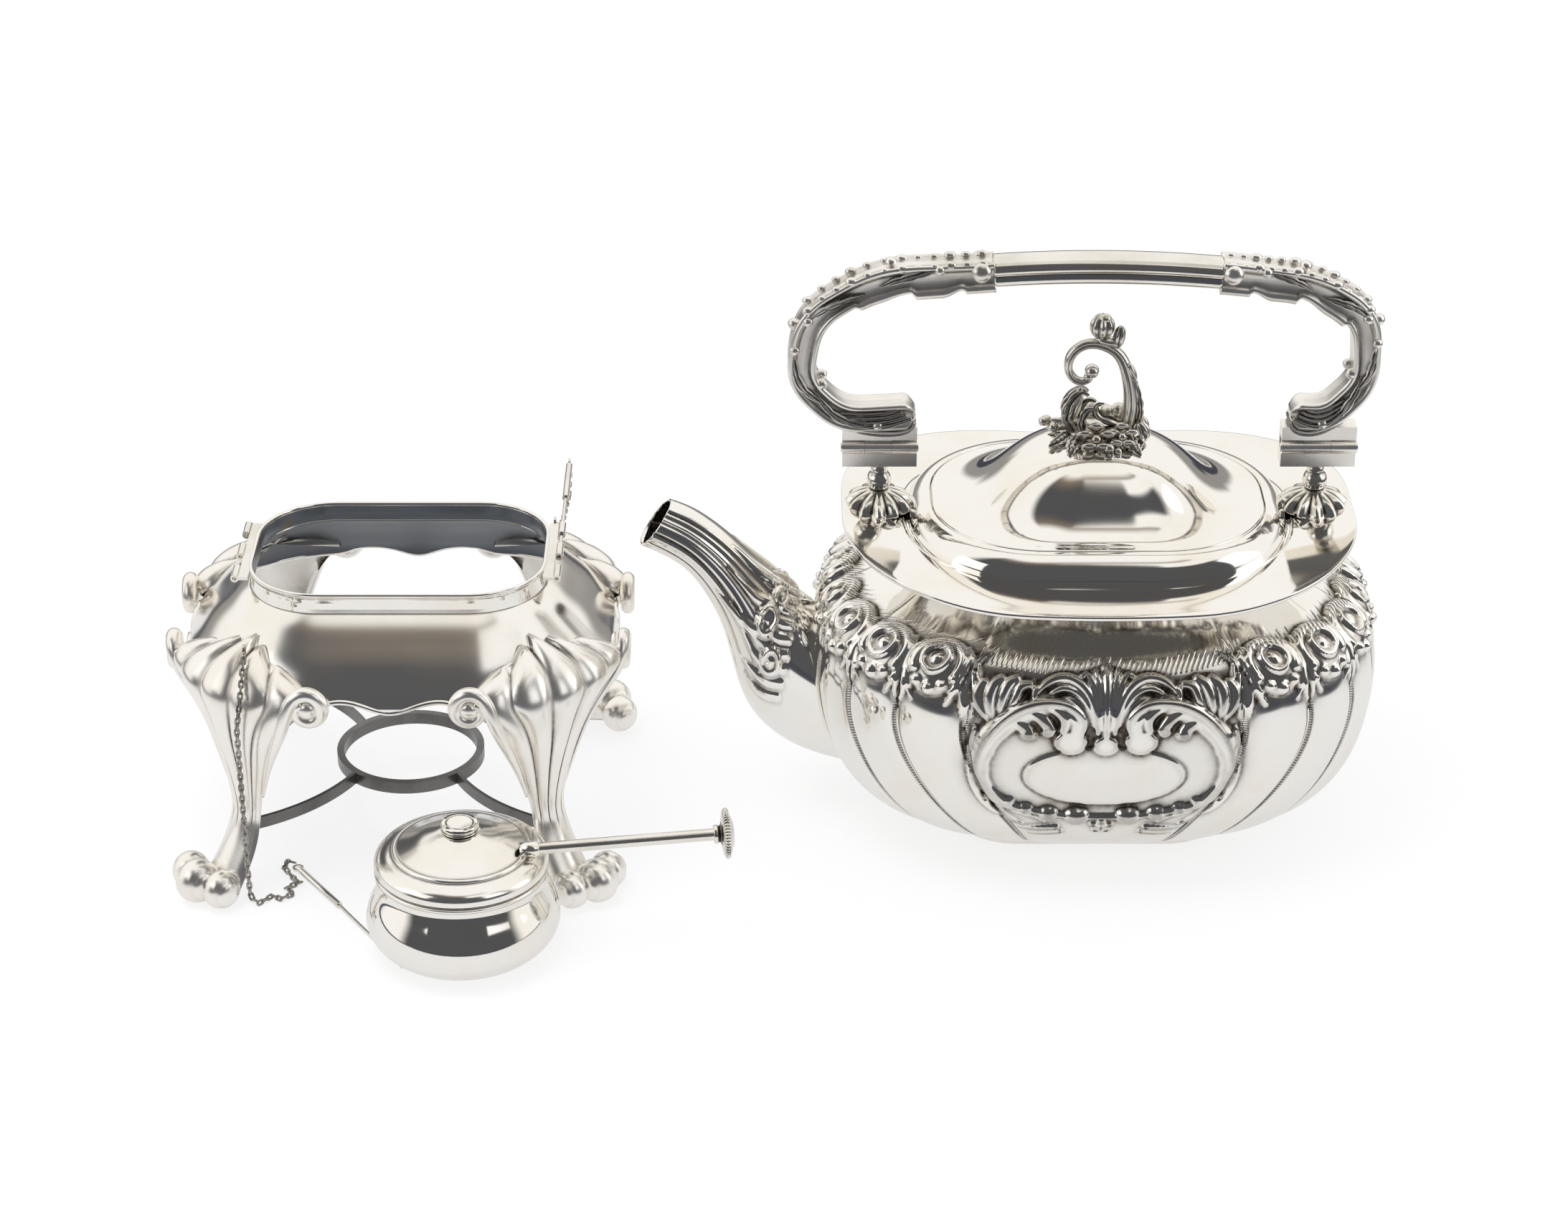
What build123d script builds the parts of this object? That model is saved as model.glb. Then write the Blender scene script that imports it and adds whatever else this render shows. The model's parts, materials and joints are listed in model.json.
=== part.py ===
from build123d import *
from math import acos, atan2, copysign, cos, dist, hypot, pi, radians, sin, tan
import os

# Tea kettle, spirit burner and footed stand of one silver set, laid out side by side.
# Millimetres, Z up, the table is Z = 0. X runs from the stand to the kettle.

os.makedirs("parts", exist_ok=True)

# Places of the three groups on the table
stand_x = -161.7
stand_y = 27.1
burner_x = -130.7
burner_y = -86.9
kettle_x = 135.8
kettle_y = 34.6

# Shared sizes
sheet = 1.2
seat_gap = 0.2
running_gap = 0.05

# Stand: opening, rim and bombe body
opening_x = 123.0
opening_y = 85.0
opening_corner = 30.0
rim_top = 128.0
rim_height = 9.0
belly_bulge = 30.5
belly_wide_height = 90.0
apron_height = 92.0
apron_rise = 5.0
apron_half_x = 27.0
apron_half_y = 20.0

# Stand: cast legs with lobed faces
leg_lobes = 5
flute = 1.4
leg_rim = 3.0
volute_radius = 7.0
volute_proud = 8.0
volute_root = 2.0
front_volute_x = 34.5
side_volute_y = 26.5
toe_x = 84.6
toe_y = 78.5
toe_radius = 9.5
side_toe_radius = 8.2
side_toe_back = 4.3
toe_spread = 11.0
toe_flat = 0.8

# Stand: burner ring and its four arms
ring_bore = 29.1
ring_band = 3.1
ring_height = 5.3
ring_top = 30.0
arm_thick = 1.6
arm_bow = 5.0
ankle_x = 61.5
ankle_y = 61.0

# Stand: hinge strips that take the two chained pins
strip_length = 51.0
strip_axis_x = 68.0
strip_thick = 1.4
strip_drop = 2.0
knuckle_radius = 1.75
pin_radius = 0.8
knuckle_count = 3

# Chained pins
sleeve_radius = 1.5
sleeve_length = 33.0
pin_length = 55.0
pin_drawn = 26.0
loop_radius = 1.9
loop_wire = 0.45
link_wire = 0.65
link_pitch = 2.7
link_width = 2.3

# Burner
bowl_radius = 40.2
bowl_wide_height = 16.0
bowl_base_radius = 21.0
bowl_neck_radius = 33.0
bowl_height = 38.0
cover_radius = 36.0
cover_height = 21.5
button_radius = 8.0
button_height = 3.4
wick_radius = 5.0
rod_radius = 2.5
rod_wall = 0.6
rod_start = (27.6, -5.7, 50.0)
rod_end = (104.0, 3.2, 51.8)
knob_radius = 10.5
knob_length = 8.5

# Kettle: body of upright lobes on a plain foot
foot_half_x = 60.0
foot_half_y = 41.0
foot_corner = 28.0
foot_height = 4.5
foot_wall = 2.4
body_half_x = 124.0
body_half_y = 92.5
shoulder_height = 122.0
oval_power = 2.6
groove_depth = 3.0
groove_shares = (0.976, 0.855, 0.677, 0.444)
strainer_bore = 3.0
strainer_pitch = 6.5
strainer_height = 58.0

# Kettle: tray round the mouth, raised at its two ends
tray_half_x = 109.0
tray_half_y = 88.5
tray_corner = 74.0
neck_height = 13.0
tray_height = shoulder_height + neck_height
tray_rise = 9.0
tray_thick = 1.3
neck_half_x = 75.0
neck_half_y = 57.0
mouth_half_x = 71.0
mouth_half_y = 53.5
mouth_corner = 46.0
mouth_height = 14.5
mouth_top = tray_height + mouth_height
seat_width = 4.0

# Kettle: lid with its dome and scroll finial
lid_edge = 2.2
lid_gap = 0.5
dome_height = 28.0
stud_radius = 2.0
nut_radius = 5.0
nut_height = 3.2
finial_wire = 3.4

# Kettle: spout
spout_root_width = 50.0
spout_tip_width = 22.0

# Kettle: handle, its two posts and hinges
hinge_x = 93.0
hinge_back = 3.0
hinge_rise = 37.5
hinge_axis_height = tray_height + hinge_rise
hinge_length = 31.6
barrel_radius = 2.8
hinge_pin_radius = 1.3
leaf_height = 6.1
leaf_depth = 9.0
leaf_gap = 0.3
lip_depth = 2.0
lip_gap = 0.15
knuckle_shares = (0.0, 0.30, 0.66, 1.0)
post_radius = 14.2
ball_radius = 7.0
handle_thick = 12.0
handle_deep = 15.0
handle_corner = 4.5
block_length = 9.0
block_grow = 2.4


def at(x, y, z=0.0):
    """Level plane at a place on or above the table."""
    return Plane(origin=(x, y, z))


def save(piece, name):
    """Name a finished piece and write it."""
    piece.label = name
    export_step(piece, f"parts/{name}.step")


def cushion(x, y, z, half_x, half_y, corner):
    """Level rounded rectangle, one section of a pillow-shaped piece."""
    with BuildSketch(at(x, y, z)) as section:
        RectangleRounded(2 * half_x, 2 * half_y, corner)
    return section.sketch


# The belly grows from the rim to its widest and draws in a little at the apron
belly_shares = (
    (0.00, 0.04), (0.07, 0.22), (0.23, 0.50), (0.46, 0.76), (0.75, 0.94), (1.00, 1.00),
)


def belly_profile():
    """Height of each level of the belly and how far it stands out from the opening."""
    top = rim_top - rim_height
    drop = top - belly_wide_height
    levels = [(top - drop * fall, sheet + (belly_bulge - sheet) * share) for fall, share in belly_shares]
    return levels + [(apron_height - apron_rise - 2.0, belly_bulge - 0.4)]


def belly_solid(inset):
    """Belly as one solid, drawn in by inset all round."""
    levels = []
    for z, grow in belly_profile():
        out = grow - inset
        levels.append(
            cushion(stand_x, stand_y, z, opening_x / 2 + out, opening_y / 2 + out, opening_corner + out)
        )
    with BuildPart() as belly:
        loft(levels)
    return belly.part


belly = belly_solid(0.0)


def bracket_edge(half_width, plane):
    """Region under one curly bracket of the apron, to be cut away."""
    with BuildSketch(plane) as region:
        with BuildLine():
            tip = (0, apron_height - apron_rise)
            ogee = (half_width * 0.32, apron_height - apron_rise * 0.45)
            crest = (half_width * 0.72, apron_height)
            end = (half_width, apron_height - 1.0)
            for side in (1, -1):
                ThreePointArc(tip, (side * ogee[0] * 0.55, tip[1] + 0.6), (side * ogee[0], ogee[1]))
                ThreePointArc((side * ogee[0], ogee[1]), (side * half_width * 0.5, apron_height - 0.6),
                              (side * crest[0], crest[1]))
                Line((side * crest[0], crest[1]), (side * end[0], end[1]))
                Line((side * end[0], end[1]), (side * end[0], 0))
            Line((-half_width, 0), (half_width, 0))
        make_face()
    return region.sketch


with BuildPart() as stand_body:
    add(belly)
    add(belly_solid(sheet), mode=Mode.SUBTRACT)
    front = Plane(origin=(stand_x, stand_y, 0), x_dir=(1, 0, 0), z_dir=(0, -1, 0))
    side = Plane(origin=(stand_x, stand_y, 0), x_dir=(0, 1, 0), z_dir=(1, 0, 0))
    extrude(bracket_edge(apron_half_x, front), amount=opening_x, both=True, mode=Mode.SUBTRACT)
    extrude(bracket_edge(apron_half_y, side), amount=opening_x, both=True, mode=Mode.SUBTRACT)
save(stand_body.part, "stand_body")

with BuildPart() as stand_rim:
    with BuildSketch(at(stand_x, stand_y, rim_top - rim_height)):
        RectangleRounded(opening_x + 2 * sheet, opening_y + 2 * sheet, opening_corner + sheet)
        RectangleRounded(opening_x, opening_y, opening_corner, mode=Mode.SUBTRACT)
    extrude(amount=rim_height)
save(stand_rim.part, "stand_rim")

# Legs: level cuts given by their front edge, crown and side edge, and the wall there
leg_cuts = (
    (112.0, (44.0, 58.5), (57.5, 55.0), (70.5, 38.0), 6.0),
    (104.0, (38.0, 70.0), (65.5, 63.0), (86.5, 29.0), 6.0),
    (94.0, (33.0, 77.5), (71.5, 69.0), (96.0, 26.0), 5.0),
    (84.0, (41.0, 79.0), (72.0, 69.5), (88.5, 34.0), 5.0),
    (72.0, (48.5, 77.0), (71.0, 69.0), (80.0, 44.0), 5.5),
    (58.0, (53.0, 73.0), (69.0, 67.5), (74.5, 52.0), 6.0),
    (44.0, (56.0, 69.5), (67.5, 66.5), (71.0, 57.5), 7.5),
    (34.0, (57.5, 68.5), (67.0, 66.0), (71.0, 58.5), 8.5),
    (22.0, (59.7, 73.0), (70.5, 70.0), (74.5, 62.0), 10.0),
    (9.0, (65.0, 79.5), (77.0, 76.0), (81.5, 68.0), 12.0),
    (3.0, (67.5, 82.0), (80.5, 77.5), (85.5, 69.0), 13.0),
)


def circle_through(a, b, c):
    """Centre, radius, first angle and turn of the circle through three points."""
    d = 2 * (a[0] * (b[1] - c[1]) + b[0] * (c[1] - a[1]) + c[0] * (a[1] - b[1]))
    sa, sb, sc = (p[0] ** 2 + p[1] ** 2 for p in (a, b, c))
    x = (sa * (b[1] - c[1]) + sb * (c[1] - a[1]) + sc * (a[1] - b[1])) / d
    y = (sa * (c[0] - b[0]) + sb * (a[0] - c[0]) + sc * (b[0] - a[0])) / d
    first = atan2(a[1] - y, a[0] - x)
    last = atan2(c[1] - y, c[0] - x)
    return (x, y), hypot(a[0] - x, a[1] - y), first, last - first


def leg_section(frame, front_edge, crown, side_edge, wall):
    """Level cut through a leg: lobes outside, one hollow at the back."""
    centre, radius, first, turn = circle_through(front_edge, crown, side_edge)

    def point(share, depth):
        angle = first + turn * share
        return (centre[0] + (radius - depth) * cos(angle), centre[1] + (radius - depth) * sin(angle))

    depth = min(flute, hypot(front_edge[0] - side_edge[0], front_edge[1] - side_edge[1]) / 24)
    with BuildSketch(frame) as section:
        with BuildLine():
            for lobe in range(leg_lobes):
                start = point(lobe / leg_lobes, depth)
                middle = point((lobe + 0.5) / leg_lobes, 0)
                ThreePointArc(start, middle, point((lobe + 1) / leg_lobes, depth))
            Line(point(1, depth), point(1, leg_rim))
            ThreePointArc(point(1, leg_rim), point(0.5, wall), point(0, leg_rim))
            Line(point(0, leg_rim), point(0, depth))
        make_face()
    return section.sketch


def corner_frame(side_x, side_y, z=0.0):
    """Level plane whose axes point from the stand's middle to one of its corners."""
    return Plane(origin=(stand_x, stand_y, z), x_dir=(side_x, 0, 0), z_dir=(0, 0, side_x * side_y))


def leg_volute(face, proud):
    """Flat round end of a scroll, standing on the belly and the edge of a leg."""
    with BuildPart() as volute:
        with BuildSketch(face):
            Circle(volute_radius)
        extrude(amount=volute_root + proud)
    return volute.part


def make_leg(side_x, side_y):
    """Cast leg: lobed shell on the belly's corner, ankle and three rolled toes."""
    reach = hypot(toe_x, toe_y)
    along = (toe_x / reach, toe_y / reach)
    front_y = opening_y / 2 + belly_bulge - volute_root
    side_x_out = opening_x / 2 + belly_bulge - volute_root
    front_face = Plane(origin=(stand_x + side_x * front_volute_x, stand_y + side_y * front_y, apron_height),
                       x_dir=(1, 0, 0), z_dir=(0, side_y, 0))
    side_face = Plane(origin=(stand_x + side_x * side_x_out, stand_y + side_y * side_volute_y, apron_height),
                      x_dir=(0, 1, 0), z_dir=(side_x, 0, 0))
    with BuildPart() as leg:
        loft([leg_section(corner_frame(side_x, side_y, z), *cut) for z, *cut in leg_cuts])
        for share in (0, 1, -1):
            radius = side_toe_radius if share else toe_radius
            out = reach - side_toe_back * abs(share)
            x = out * along[0] + share * toe_spread * along[1]
            y = out * along[1] - share * toe_spread * along[0]
            with Locations((stand_x + side_x * x, stand_y + side_y * y, radius - toe_flat)):
                Sphere(radius)
        add(leg_volute(front_face, volute_proud))
        add(leg_volute(side_face, volute_proud - volute_root))
        add(belly, mode=Mode.SUBTRACT)
        split(bisect_by=Plane.XY)
    return leg.part


corners = {
    "front_left": (-1, -1),
    "front_right": (1, -1),
    "back_left": (-1, 1),
    "back_right": (1, 1),
}
legs = {name: make_leg(*signs) for name, signs in corners.items()}
for name, leg in legs.items():
    save(leg, f"leg_{name}")

with BuildPart() as burner_ring:
    with BuildSketch(at(stand_x, stand_y, ring_top - ring_height)):
        Circle(ring_bore + ring_band)
        Circle(ring_bore, mode=Mode.SUBTRACT)
    extrude(amount=ring_height)
save(burner_ring.part, "burner_ring")


def make_arm(name):
    """Bowed flat bar on edge, from the ring to the inside of one ankle."""
    side_x, side_y = corners[name]
    away = atan2(ankle_y, ankle_x)
    start = (0.96 * ring_bore * cos(away), 0.96 * ring_bore * sin(away))
    start = (start[0] + ring_band * cos(away), start[1] + ring_band * sin(away))
    end = (ankle_x + 1.0, ankle_y + 1.0)
    middle = ((start[0] + end[0]) / 2 - arm_bow * sin(away), (start[1] + end[1]) / 2 + arm_bow * cos(away))
    with BuildPart() as arm:
        with BuildSketch(corner_frame(side_x, side_y, ring_top - ring_height)):
            with BuildLine():
                ThreePointArc(start, middle, end)
            trace(line_width=arm_thick)
        extrude(amount=ring_height * side_x * side_y)
        add(burner_ring.part, mode=Mode.SUBTRACT)
        add(legs[name], mode=Mode.SUBTRACT)
    return arm.part


for name in corners:
    save(make_arm(name), f"ring_arm_{name}")

# Hinge strips: a ledge on the rim's outside with three knuckles, and gaps for the kettle's two
knuckle_pitch = strip_length / (2 * knuckle_count - 1)
strip_z = rim_top - strip_drop


def knuckle_row(x, y, z, first, count, bore):
    """Bored knuckles along Y at every second place of a strip, as cylinders."""
    with BuildPart() as row:
        for place in range(count):
            begin = y - strip_length / 2 + (first + 2 * place) * knuckle_pitch + running_gap
            with BuildSketch(Plane(origin=(x, begin, z), x_dir=(1, 0, 0), z_dir=(0, 1, 0))):
                Circle(knuckle_radius)
                Circle(bore, mode=Mode.SUBTRACT)
            extrude(amount=knuckle_pitch - 2 * running_gap)
    return row.part


pin_bore = pin_radius + running_gap


def make_strip(side):
    """Ledge and three knuckles on one end of the stand's rim."""
    rim_face = opening_x / 2 + sheet
    with BuildPart() as strip:
        with BuildSketch(at(stand_x, stand_y, strip_z - strip_thick / 2)):
            with Locations(Location((side * (rim_face + strip_axis_x - knuckle_radius) / 2, 0))):
                Rectangle(strip_axis_x - knuckle_radius - rim_face + 0.6, strip_length)
        extrude(amount=strip_thick)
        add(stand_rim.part, mode=Mode.SUBTRACT)
        add(knuckle_row(stand_x + side * strip_axis_x, stand_y, strip_z, 0, knuckle_count, pin_bore))
        with BuildSketch(Plane(origin=(stand_x + side * strip_axis_x, stand_y, strip_z),
                               x_dir=(1, 0, 0), z_dir=(0, 1, 0))):
            Circle(pin_bore)
        extrude(amount=strip_length, both=True, mode=Mode.SUBTRACT)
    return strip.part


save(make_strip(-1), "hinge_strip_left")
save(make_strip(1), "hinge_strip_right")


def chain_link():
    """One oval link lying along X, round wire."""
    straight = link_pitch + link_wire - 0.1 - (link_width - link_wire)
    bend = (link_width - link_wire) / 2
    with BuildPart() as link:
        with BuildLine() as oval:
            Line((-straight / 2, bend), (straight / 2, bend))
            ThreePointArc((straight / 2, bend), (straight / 2 + bend, 0), (straight / 2, -bend))
            Line((straight / 2, -bend), (-straight / 2, -bend))
            ThreePointArc((-straight / 2, -bend), (-straight / 2 - bend, 0), (-straight / 2, bend))
        with BuildSketch(Plane(origin=(0, bend, 0), z_dir=(1, 0, 0))):
            Circle(link_wire / 2)
        sweep(path=oval.wires()[0])
    return link.part


def chain(route):
    """Links one after another along a route, each turned a quarter on the last."""
    lengths = [dist(a, b) for a, b in zip(route, route[1:])]
    count = round(sum(lengths) / link_pitch)
    step = sum(lengths) / count
    links = []
    link = chain_link()
    for number in range(count):
        along = (number + 0.5) * step
        run = 0
        while along > lengths[run] and run < len(lengths) - 1:
            along -= lengths[run]
            run += 1
        start, end = Vector(*route[run]), Vector(*route[run + 1])
        heading = (end - start).normalized()
        place = start + heading * along
        across = heading.cross(Vector(0.3, 1, 0.2)).normalized()
        frame = Plane(origin=place, x_dir=heading, z_dir=across)
        links.append(link.moved(frame.location * Location((0, 0, 0), (90.0 * (number % 2) + 45.0, 0, 0))))
    print("chain links", count, "step", round(step, 3))
    return Compound(children=links)


# Eyes that hold the chains: one on the front left leg, one on the right strip
def eye(x, y, z, facing):
    """Small wire ring standing on a peg."""
    with BuildPart() as ring:
        with BuildSketch(Plane(origin=(x, y, z), x_dir=(0, 0, 1), z_dir=facing)):
            Circle(loop_radius + loop_wire)
            Circle(loop_radius - loop_wire, mode=Mode.SUBTRACT)
        extrude(amount=loop_wire, both=True)
    return ring.part


left_eye = (stand_x - 60.6, stand_y - 60.0, 110.5)
right_eye = (stand_x + 64.6, stand_y + strip_length / 2 + loop_radius + loop_wire, strip_z)
save(eye(*left_eye, (1, 0, 0)), "chain_eye_left")
save(eye(*right_eye, (1, 0, 0)), "chain_eye_right")


def make_pin(tail, sleeve_end, tip, loop_face, name):
    """Chained pin: a loop, a thick sleeve and a long thin wire."""
    tail, sleeve_end, tip = Vector(*tail), Vector(*sleeve_end), Vector(*tip)
    first = Vector(sleeve_end.X - tail.X, sleeve_end.Y - tail.Y, 0).normalized()
    last = (tip - sleeve_end).normalized()
    with BuildPart() as pin:
        with BuildSketch(Plane(origin=tail, z_dir=first)):
            Circle(sleeve_radius)
        extrude(amount=(sleeve_end - tail).length)
        with BuildSketch(Plane(origin=sleeve_end - last * 2, z_dir=last)):
            Circle(pin_radius)
        extrude(amount=(tip - sleeve_end).length + 2)
        with BuildSketch(Plane(origin=tail - first * loop_radius, x_dir=first, z_dir=loop_face)):
            Circle(loop_radius + loop_wire)
            Circle(loop_radius - loop_wire, mode=Mode.SUBTRACT)
        extrude(amount=loop_wire, both=True)
    save(pin.part, name)


# Right pin: drawn out of its strip, still held by the rear knuckles
right_axis_x = stand_x + strip_axis_x
strip_back = stand_y + strip_length / 2
right_sleeve = (right_axis_x, strip_back + pin_drawn, strip_z)
right_tail = (right_axis_x, strip_back + pin_drawn + sleeve_length, strip_z)
right_tip = (right_axis_x, strip_back + pin_drawn - pin_length, strip_z)
make_pin(right_tail, right_sleeve, right_tip, (1, 0, 0), "pin_right")

# Left pin: lies on the table beside the burner
left_tail = (stand_x - 43.9, stand_y - 57.4, sleeve_radius + 0.1)
left_sleeve = (stand_x - 24.1, stand_y - 86.0, sleeve_radius + 0.1)
left_tip = (stand_x + 6.5, stand_y - 132.0, pin_radius + 0.1)
make_pin(left_tail, left_sleeve, left_tip, (0, 0, 1), "pin_left")

# Chains: the left one falls from its eye to the table, the right one hangs to its drawn pin
chain_lift = link_width / 2 + 0.05
left_route = (
    (left_eye[0], left_eye[1] - 3.0, left_eye[2] - 2.0),
    (left_eye[0] - 0.4, stand_y - 77.0, 98.0),
    (stand_x - 62.0, stand_y - 80.4, 90.0),
    (stand_x - 62.9, stand_y - 80.6, 84.0),
    (stand_x - 62.9, stand_y - 79.8, 20.0),
    (stand_x - 62.6, stand_y - 79.6, chain_lift + 2.4),
    (stand_x - 61.4, stand_y - 81.0, chain_lift + 0.3),
    (stand_x - 58.0, stand_y - 83.0, chain_lift),
    (stand_x - 53.5, stand_y - 77.5, chain_lift),
    (stand_x - 50.0, stand_y - 80.0, chain_lift),
    (stand_x - 45.0, stand_y - 76.5, chain_lift),
    (stand_x - 48.0, stand_y - 71.0, chain_lift),
    (stand_x - 43.0, stand_y - 67.0, chain_lift),
    (stand_x - 46.5, stand_y - 63.0, chain_lift),
    (stand_x - 50.6, stand_y - 57.5, chain_lift + 1.6),
    (stand_x - 50.0, stand_y - 51.0, chain_lift + 1.0),
    (stand_x - 46.8, stand_y - 51.9, chain_lift + 0.6),
)
save(chain(left_route), "chain_left")
sag_y = (right_eye[1] + right_tail[1]) / 2
right_route = (
    (right_eye[0], right_eye[1] + 2.6, right_eye[2] - 2.0),
    (right_eye[0] + 0.8, right_eye[1] + 13.0, right_eye[2] - 9.0),
    (right_eye[0] + 2.0, sag_y, right_eye[2] - 12.0),
    (right_axis_x, right_tail[1] - 10.0, right_eye[2] - 10.0),
    (right_axis_x, right_tail[1] + loop_radius, strip_z - 4.6),
)
save(chain(right_route), "chain_right")


# Burner: every piece but the rod is turned about one upright axis
burner_axis = Axis((burner_x, burner_y, 0), (0, 0, 1))


def half_profile(curve, smooth=True):
    """Half section of a turned solid: its side, and level ends on the axis."""
    with BuildSketch(Plane(origin=(burner_x, burner_y, 0), x_dir=(1, 0, 0), z_dir=(0, -1, 0))) as half:
        with BuildLine():
            if smooth:
                Spline(*curve, tangents=((1, 0.2), (0, 1)))
            else:
                Polyline(*curve)
            Polyline(curve[-1], (0, curve[-1][1]), (0, curve[0][1]), curve[0])
        make_face()
    return half.sketch


def inset(curve, wall):
    """The same side, one wall thickness nearer the axis."""
    return [(radius - wall, height) for radius, height in curve]


bowl_side = (
    (bowl_base_radius, 0.0),
    (bowl_radius - 6.0, 4.8),
    (bowl_radius, bowl_wide_height),
    (bowl_radius - 2.4, bowl_wide_height + 8.5),
    (bowl_neck_radius + 1.2, bowl_height - 7.0),
    (bowl_neck_radius, bowl_height - 3.0),
    (bowl_neck_radius + 0.4, bowl_height),
)
bowl_hollow = [(bowl_base_radius, sheet), (bowl_radius - 7.0, 4.8 + sheet)] + inset(bowl_side[2:], sheet)
with BuildPart() as burner_bowl:
    revolve(half_profile(bowl_side), axis=burner_axis)
    revolve(half_profile(bowl_hollow), axis=burner_axis, mode=Mode.SUBTRACT)
save(burner_bowl.part, "burner_bowl")

# Plate across the bowl's neck, with the tube that holds the wick
plate_height = bowl_height - 5.0
wick_tube_top = plate_height + 9.0
with BuildPart() as burner_plate:
    with BuildSketch(at(burner_x, burner_y, plate_height)):
        Circle(bowl_neck_radius - sheet - 0.8)
        Circle(wick_radius, mode=Mode.SUBTRACT)
    extrude(amount=sheet)
    with BuildSketch(at(burner_x, burner_y, plate_height - 12.0)):
        Circle(wick_radius + 0.8)
        Circle(wick_radius, mode=Mode.SUBTRACT)
    extrude(amount=wick_tube_top - plate_height + 12.0)
    with BuildSketch(at(burner_x, burner_y, plate_height)):
        Circle(bowl_neck_radius - sheet + 0.4)
        Circle(bowl_neck_radius - sheet - 0.9, mode=Mode.SUBTRACT)
    extrude(amount=sheet)
    add(burner_bowl.part, mode=Mode.SUBTRACT)
save(burner_plate.part, "burner_plate")

with BuildPart() as wick:
    with BuildSketch(at(burner_x, burner_y, sheet + 1.0)):
        Circle(wick_radius - running_gap)
    extrude(amount=wick_tube_top + 2.0 - sheet)
save(wick.part, "wick")

# Cover: a stepped cap that slips over the bowl's lip and puts out the flame
cover_bottom = bowl_height - 0.5
cover_top = cover_bottom + cover_height
cover_side = (
    (cover_radius, cover_bottom),
    (cover_radius, cover_bottom + 1.2),
    (cover_radius - 1.0, cover_bottom + 1.6),
    (cover_radius - 1.0, cover_bottom + 2.2),
    (cover_radius, cover_bottom + 3.4),
    (cover_radius, cover_bottom + 5.0),
    (cover_radius - 1.6, cover_bottom + 7.4),
    (cover_radius - 4.4, cover_bottom + 9.4),
    (cover_radius - 7.0, cover_bottom + 10.0),
    (cover_radius - 8.0, cover_bottom + 11.2),
    (cover_radius - 14.0, cover_bottom + 15.6),
    (cover_radius - 21.0, cover_bottom + 19.2),
    (button_radius, cover_bottom + 21.0),
    (button_radius - 2.0, cover_top),
)
cover_hollow = (
    (cover_radius - sheet, cover_bottom),
    (cover_radius - sheet, cover_bottom + 5.0),
    (cover_radius - 8.0 - sheet, cover_bottom + 9.0),
    (cover_radius - 15.0, cover_bottom + 13.6),
    (cover_radius - 22.0, cover_bottom + 17.4),
    (button_radius, cover_bottom + 19.4),
)
rod_from = (burner_x + rod_start[0], burner_y + rod_start[1], rod_start[2])
rod_to = (burner_x + rod_end[0], burner_y + rod_end[1], rod_end[2])
rod_way = (Vector(*rod_to) - Vector(*rod_from)).normalized()
socket_length = 5.0
socket_wall = 0.7
with BuildPart() as burner_cover:
    revolve(half_profile(cover_side, smooth=False), axis=burner_axis)
    with BuildSketch(Plane(origin=Vector(*rod_from) - rod_way * 3.0, z_dir=rod_way)):
        Circle(rod_radius + socket_wall)
    extrude(amount=3.0 + socket_length)
    with BuildSketch(Plane(origin=rod_from, z_dir=rod_way)):
        Circle(rod_radius + running_gap)
    extrude(amount=socket_length, mode=Mode.SUBTRACT)
    revolve(half_profile(cover_hollow, smooth=False), axis=burner_axis, mode=Mode.SUBTRACT)
save(burner_cover.part, "burner_cover")

with BuildPart() as cover_button:
    with BuildSketch(at(burner_x, burner_y, cover_top)):
        Circle(button_radius)
    extrude(amount=button_height)
    fillet(cover_button.edges().group_by(Axis.Z)[-1], button_height * 0.45)
save(cover_button.part, "cover_button")

# Handle of the cover: a drawn tube with a milled knob on its end
with BuildPart() as handle_rod:
    with BuildSketch(Plane(origin=rod_from, z_dir=rod_way)):
        Circle(rod_radius)
        Circle(rod_radius - rod_wall, mode=Mode.SUBTRACT)
    extrude(amount=(Vector(*rod_to) - Vector(*rod_from)).length)
save(handle_rod.part, "handle_rod")

knob_side = (
    (rod_radius + 1.2, 0.0),
    (rod_radius + 1.6, 1.4),
    (rod_radius + 0.8, 2.4),
    (knob_radius - 3.0, 4.0),
    (knob_radius - 0.6, 4.4),
    (knob_radius, 5.4),
    (knob_radius - 0.6, 6.4),
    (knob_radius - 2.4, 7.0),
    (knob_radius - 5.5, knob_length),
)
with BuildPart() as handle_knob:
    side_on = Plane(origin=rod_to, x_dir=rod_way.cross(Vector(0, 1, 0)).normalized(),
                    z_dir=rod_way.cross(Vector(0, 1, 0)).normalized().cross(rod_way))
    with BuildSketch(side_on):
        with BuildLine():
            Polyline(*[(radius, along) for radius, along in knob_side])
            Polyline(knob_side[-1], (0, knob_length), (0, 0), knob_side[0])
        make_face()
    revolve(axis=Axis(rod_to, rod_way))
save(handle_knob.part, "handle_knob")

# Kettle: grooves of the body, as turns round a squarish oval
quarter_turns = [0.0] + [acos(share ** (oval_power / 2)) for share in groove_shares]
half_turns = quarter_turns + [pi - turn for turn in reversed(quarter_turns)]
groove_turns = half_turns + [pi + turn for turn in half_turns[1:-1]] + [2 * pi]


def oval_point(half_x, half_y, turn):
    """Point of the squarish oval, at a turn from its X axis."""
    share = 2 / oval_power
    x = copysign(abs(cos(turn)) ** share, cos(turn))
    y = copysign(abs(sin(turn)) ** share, sin(turn))
    return (half_x * x, half_y * y)


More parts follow.
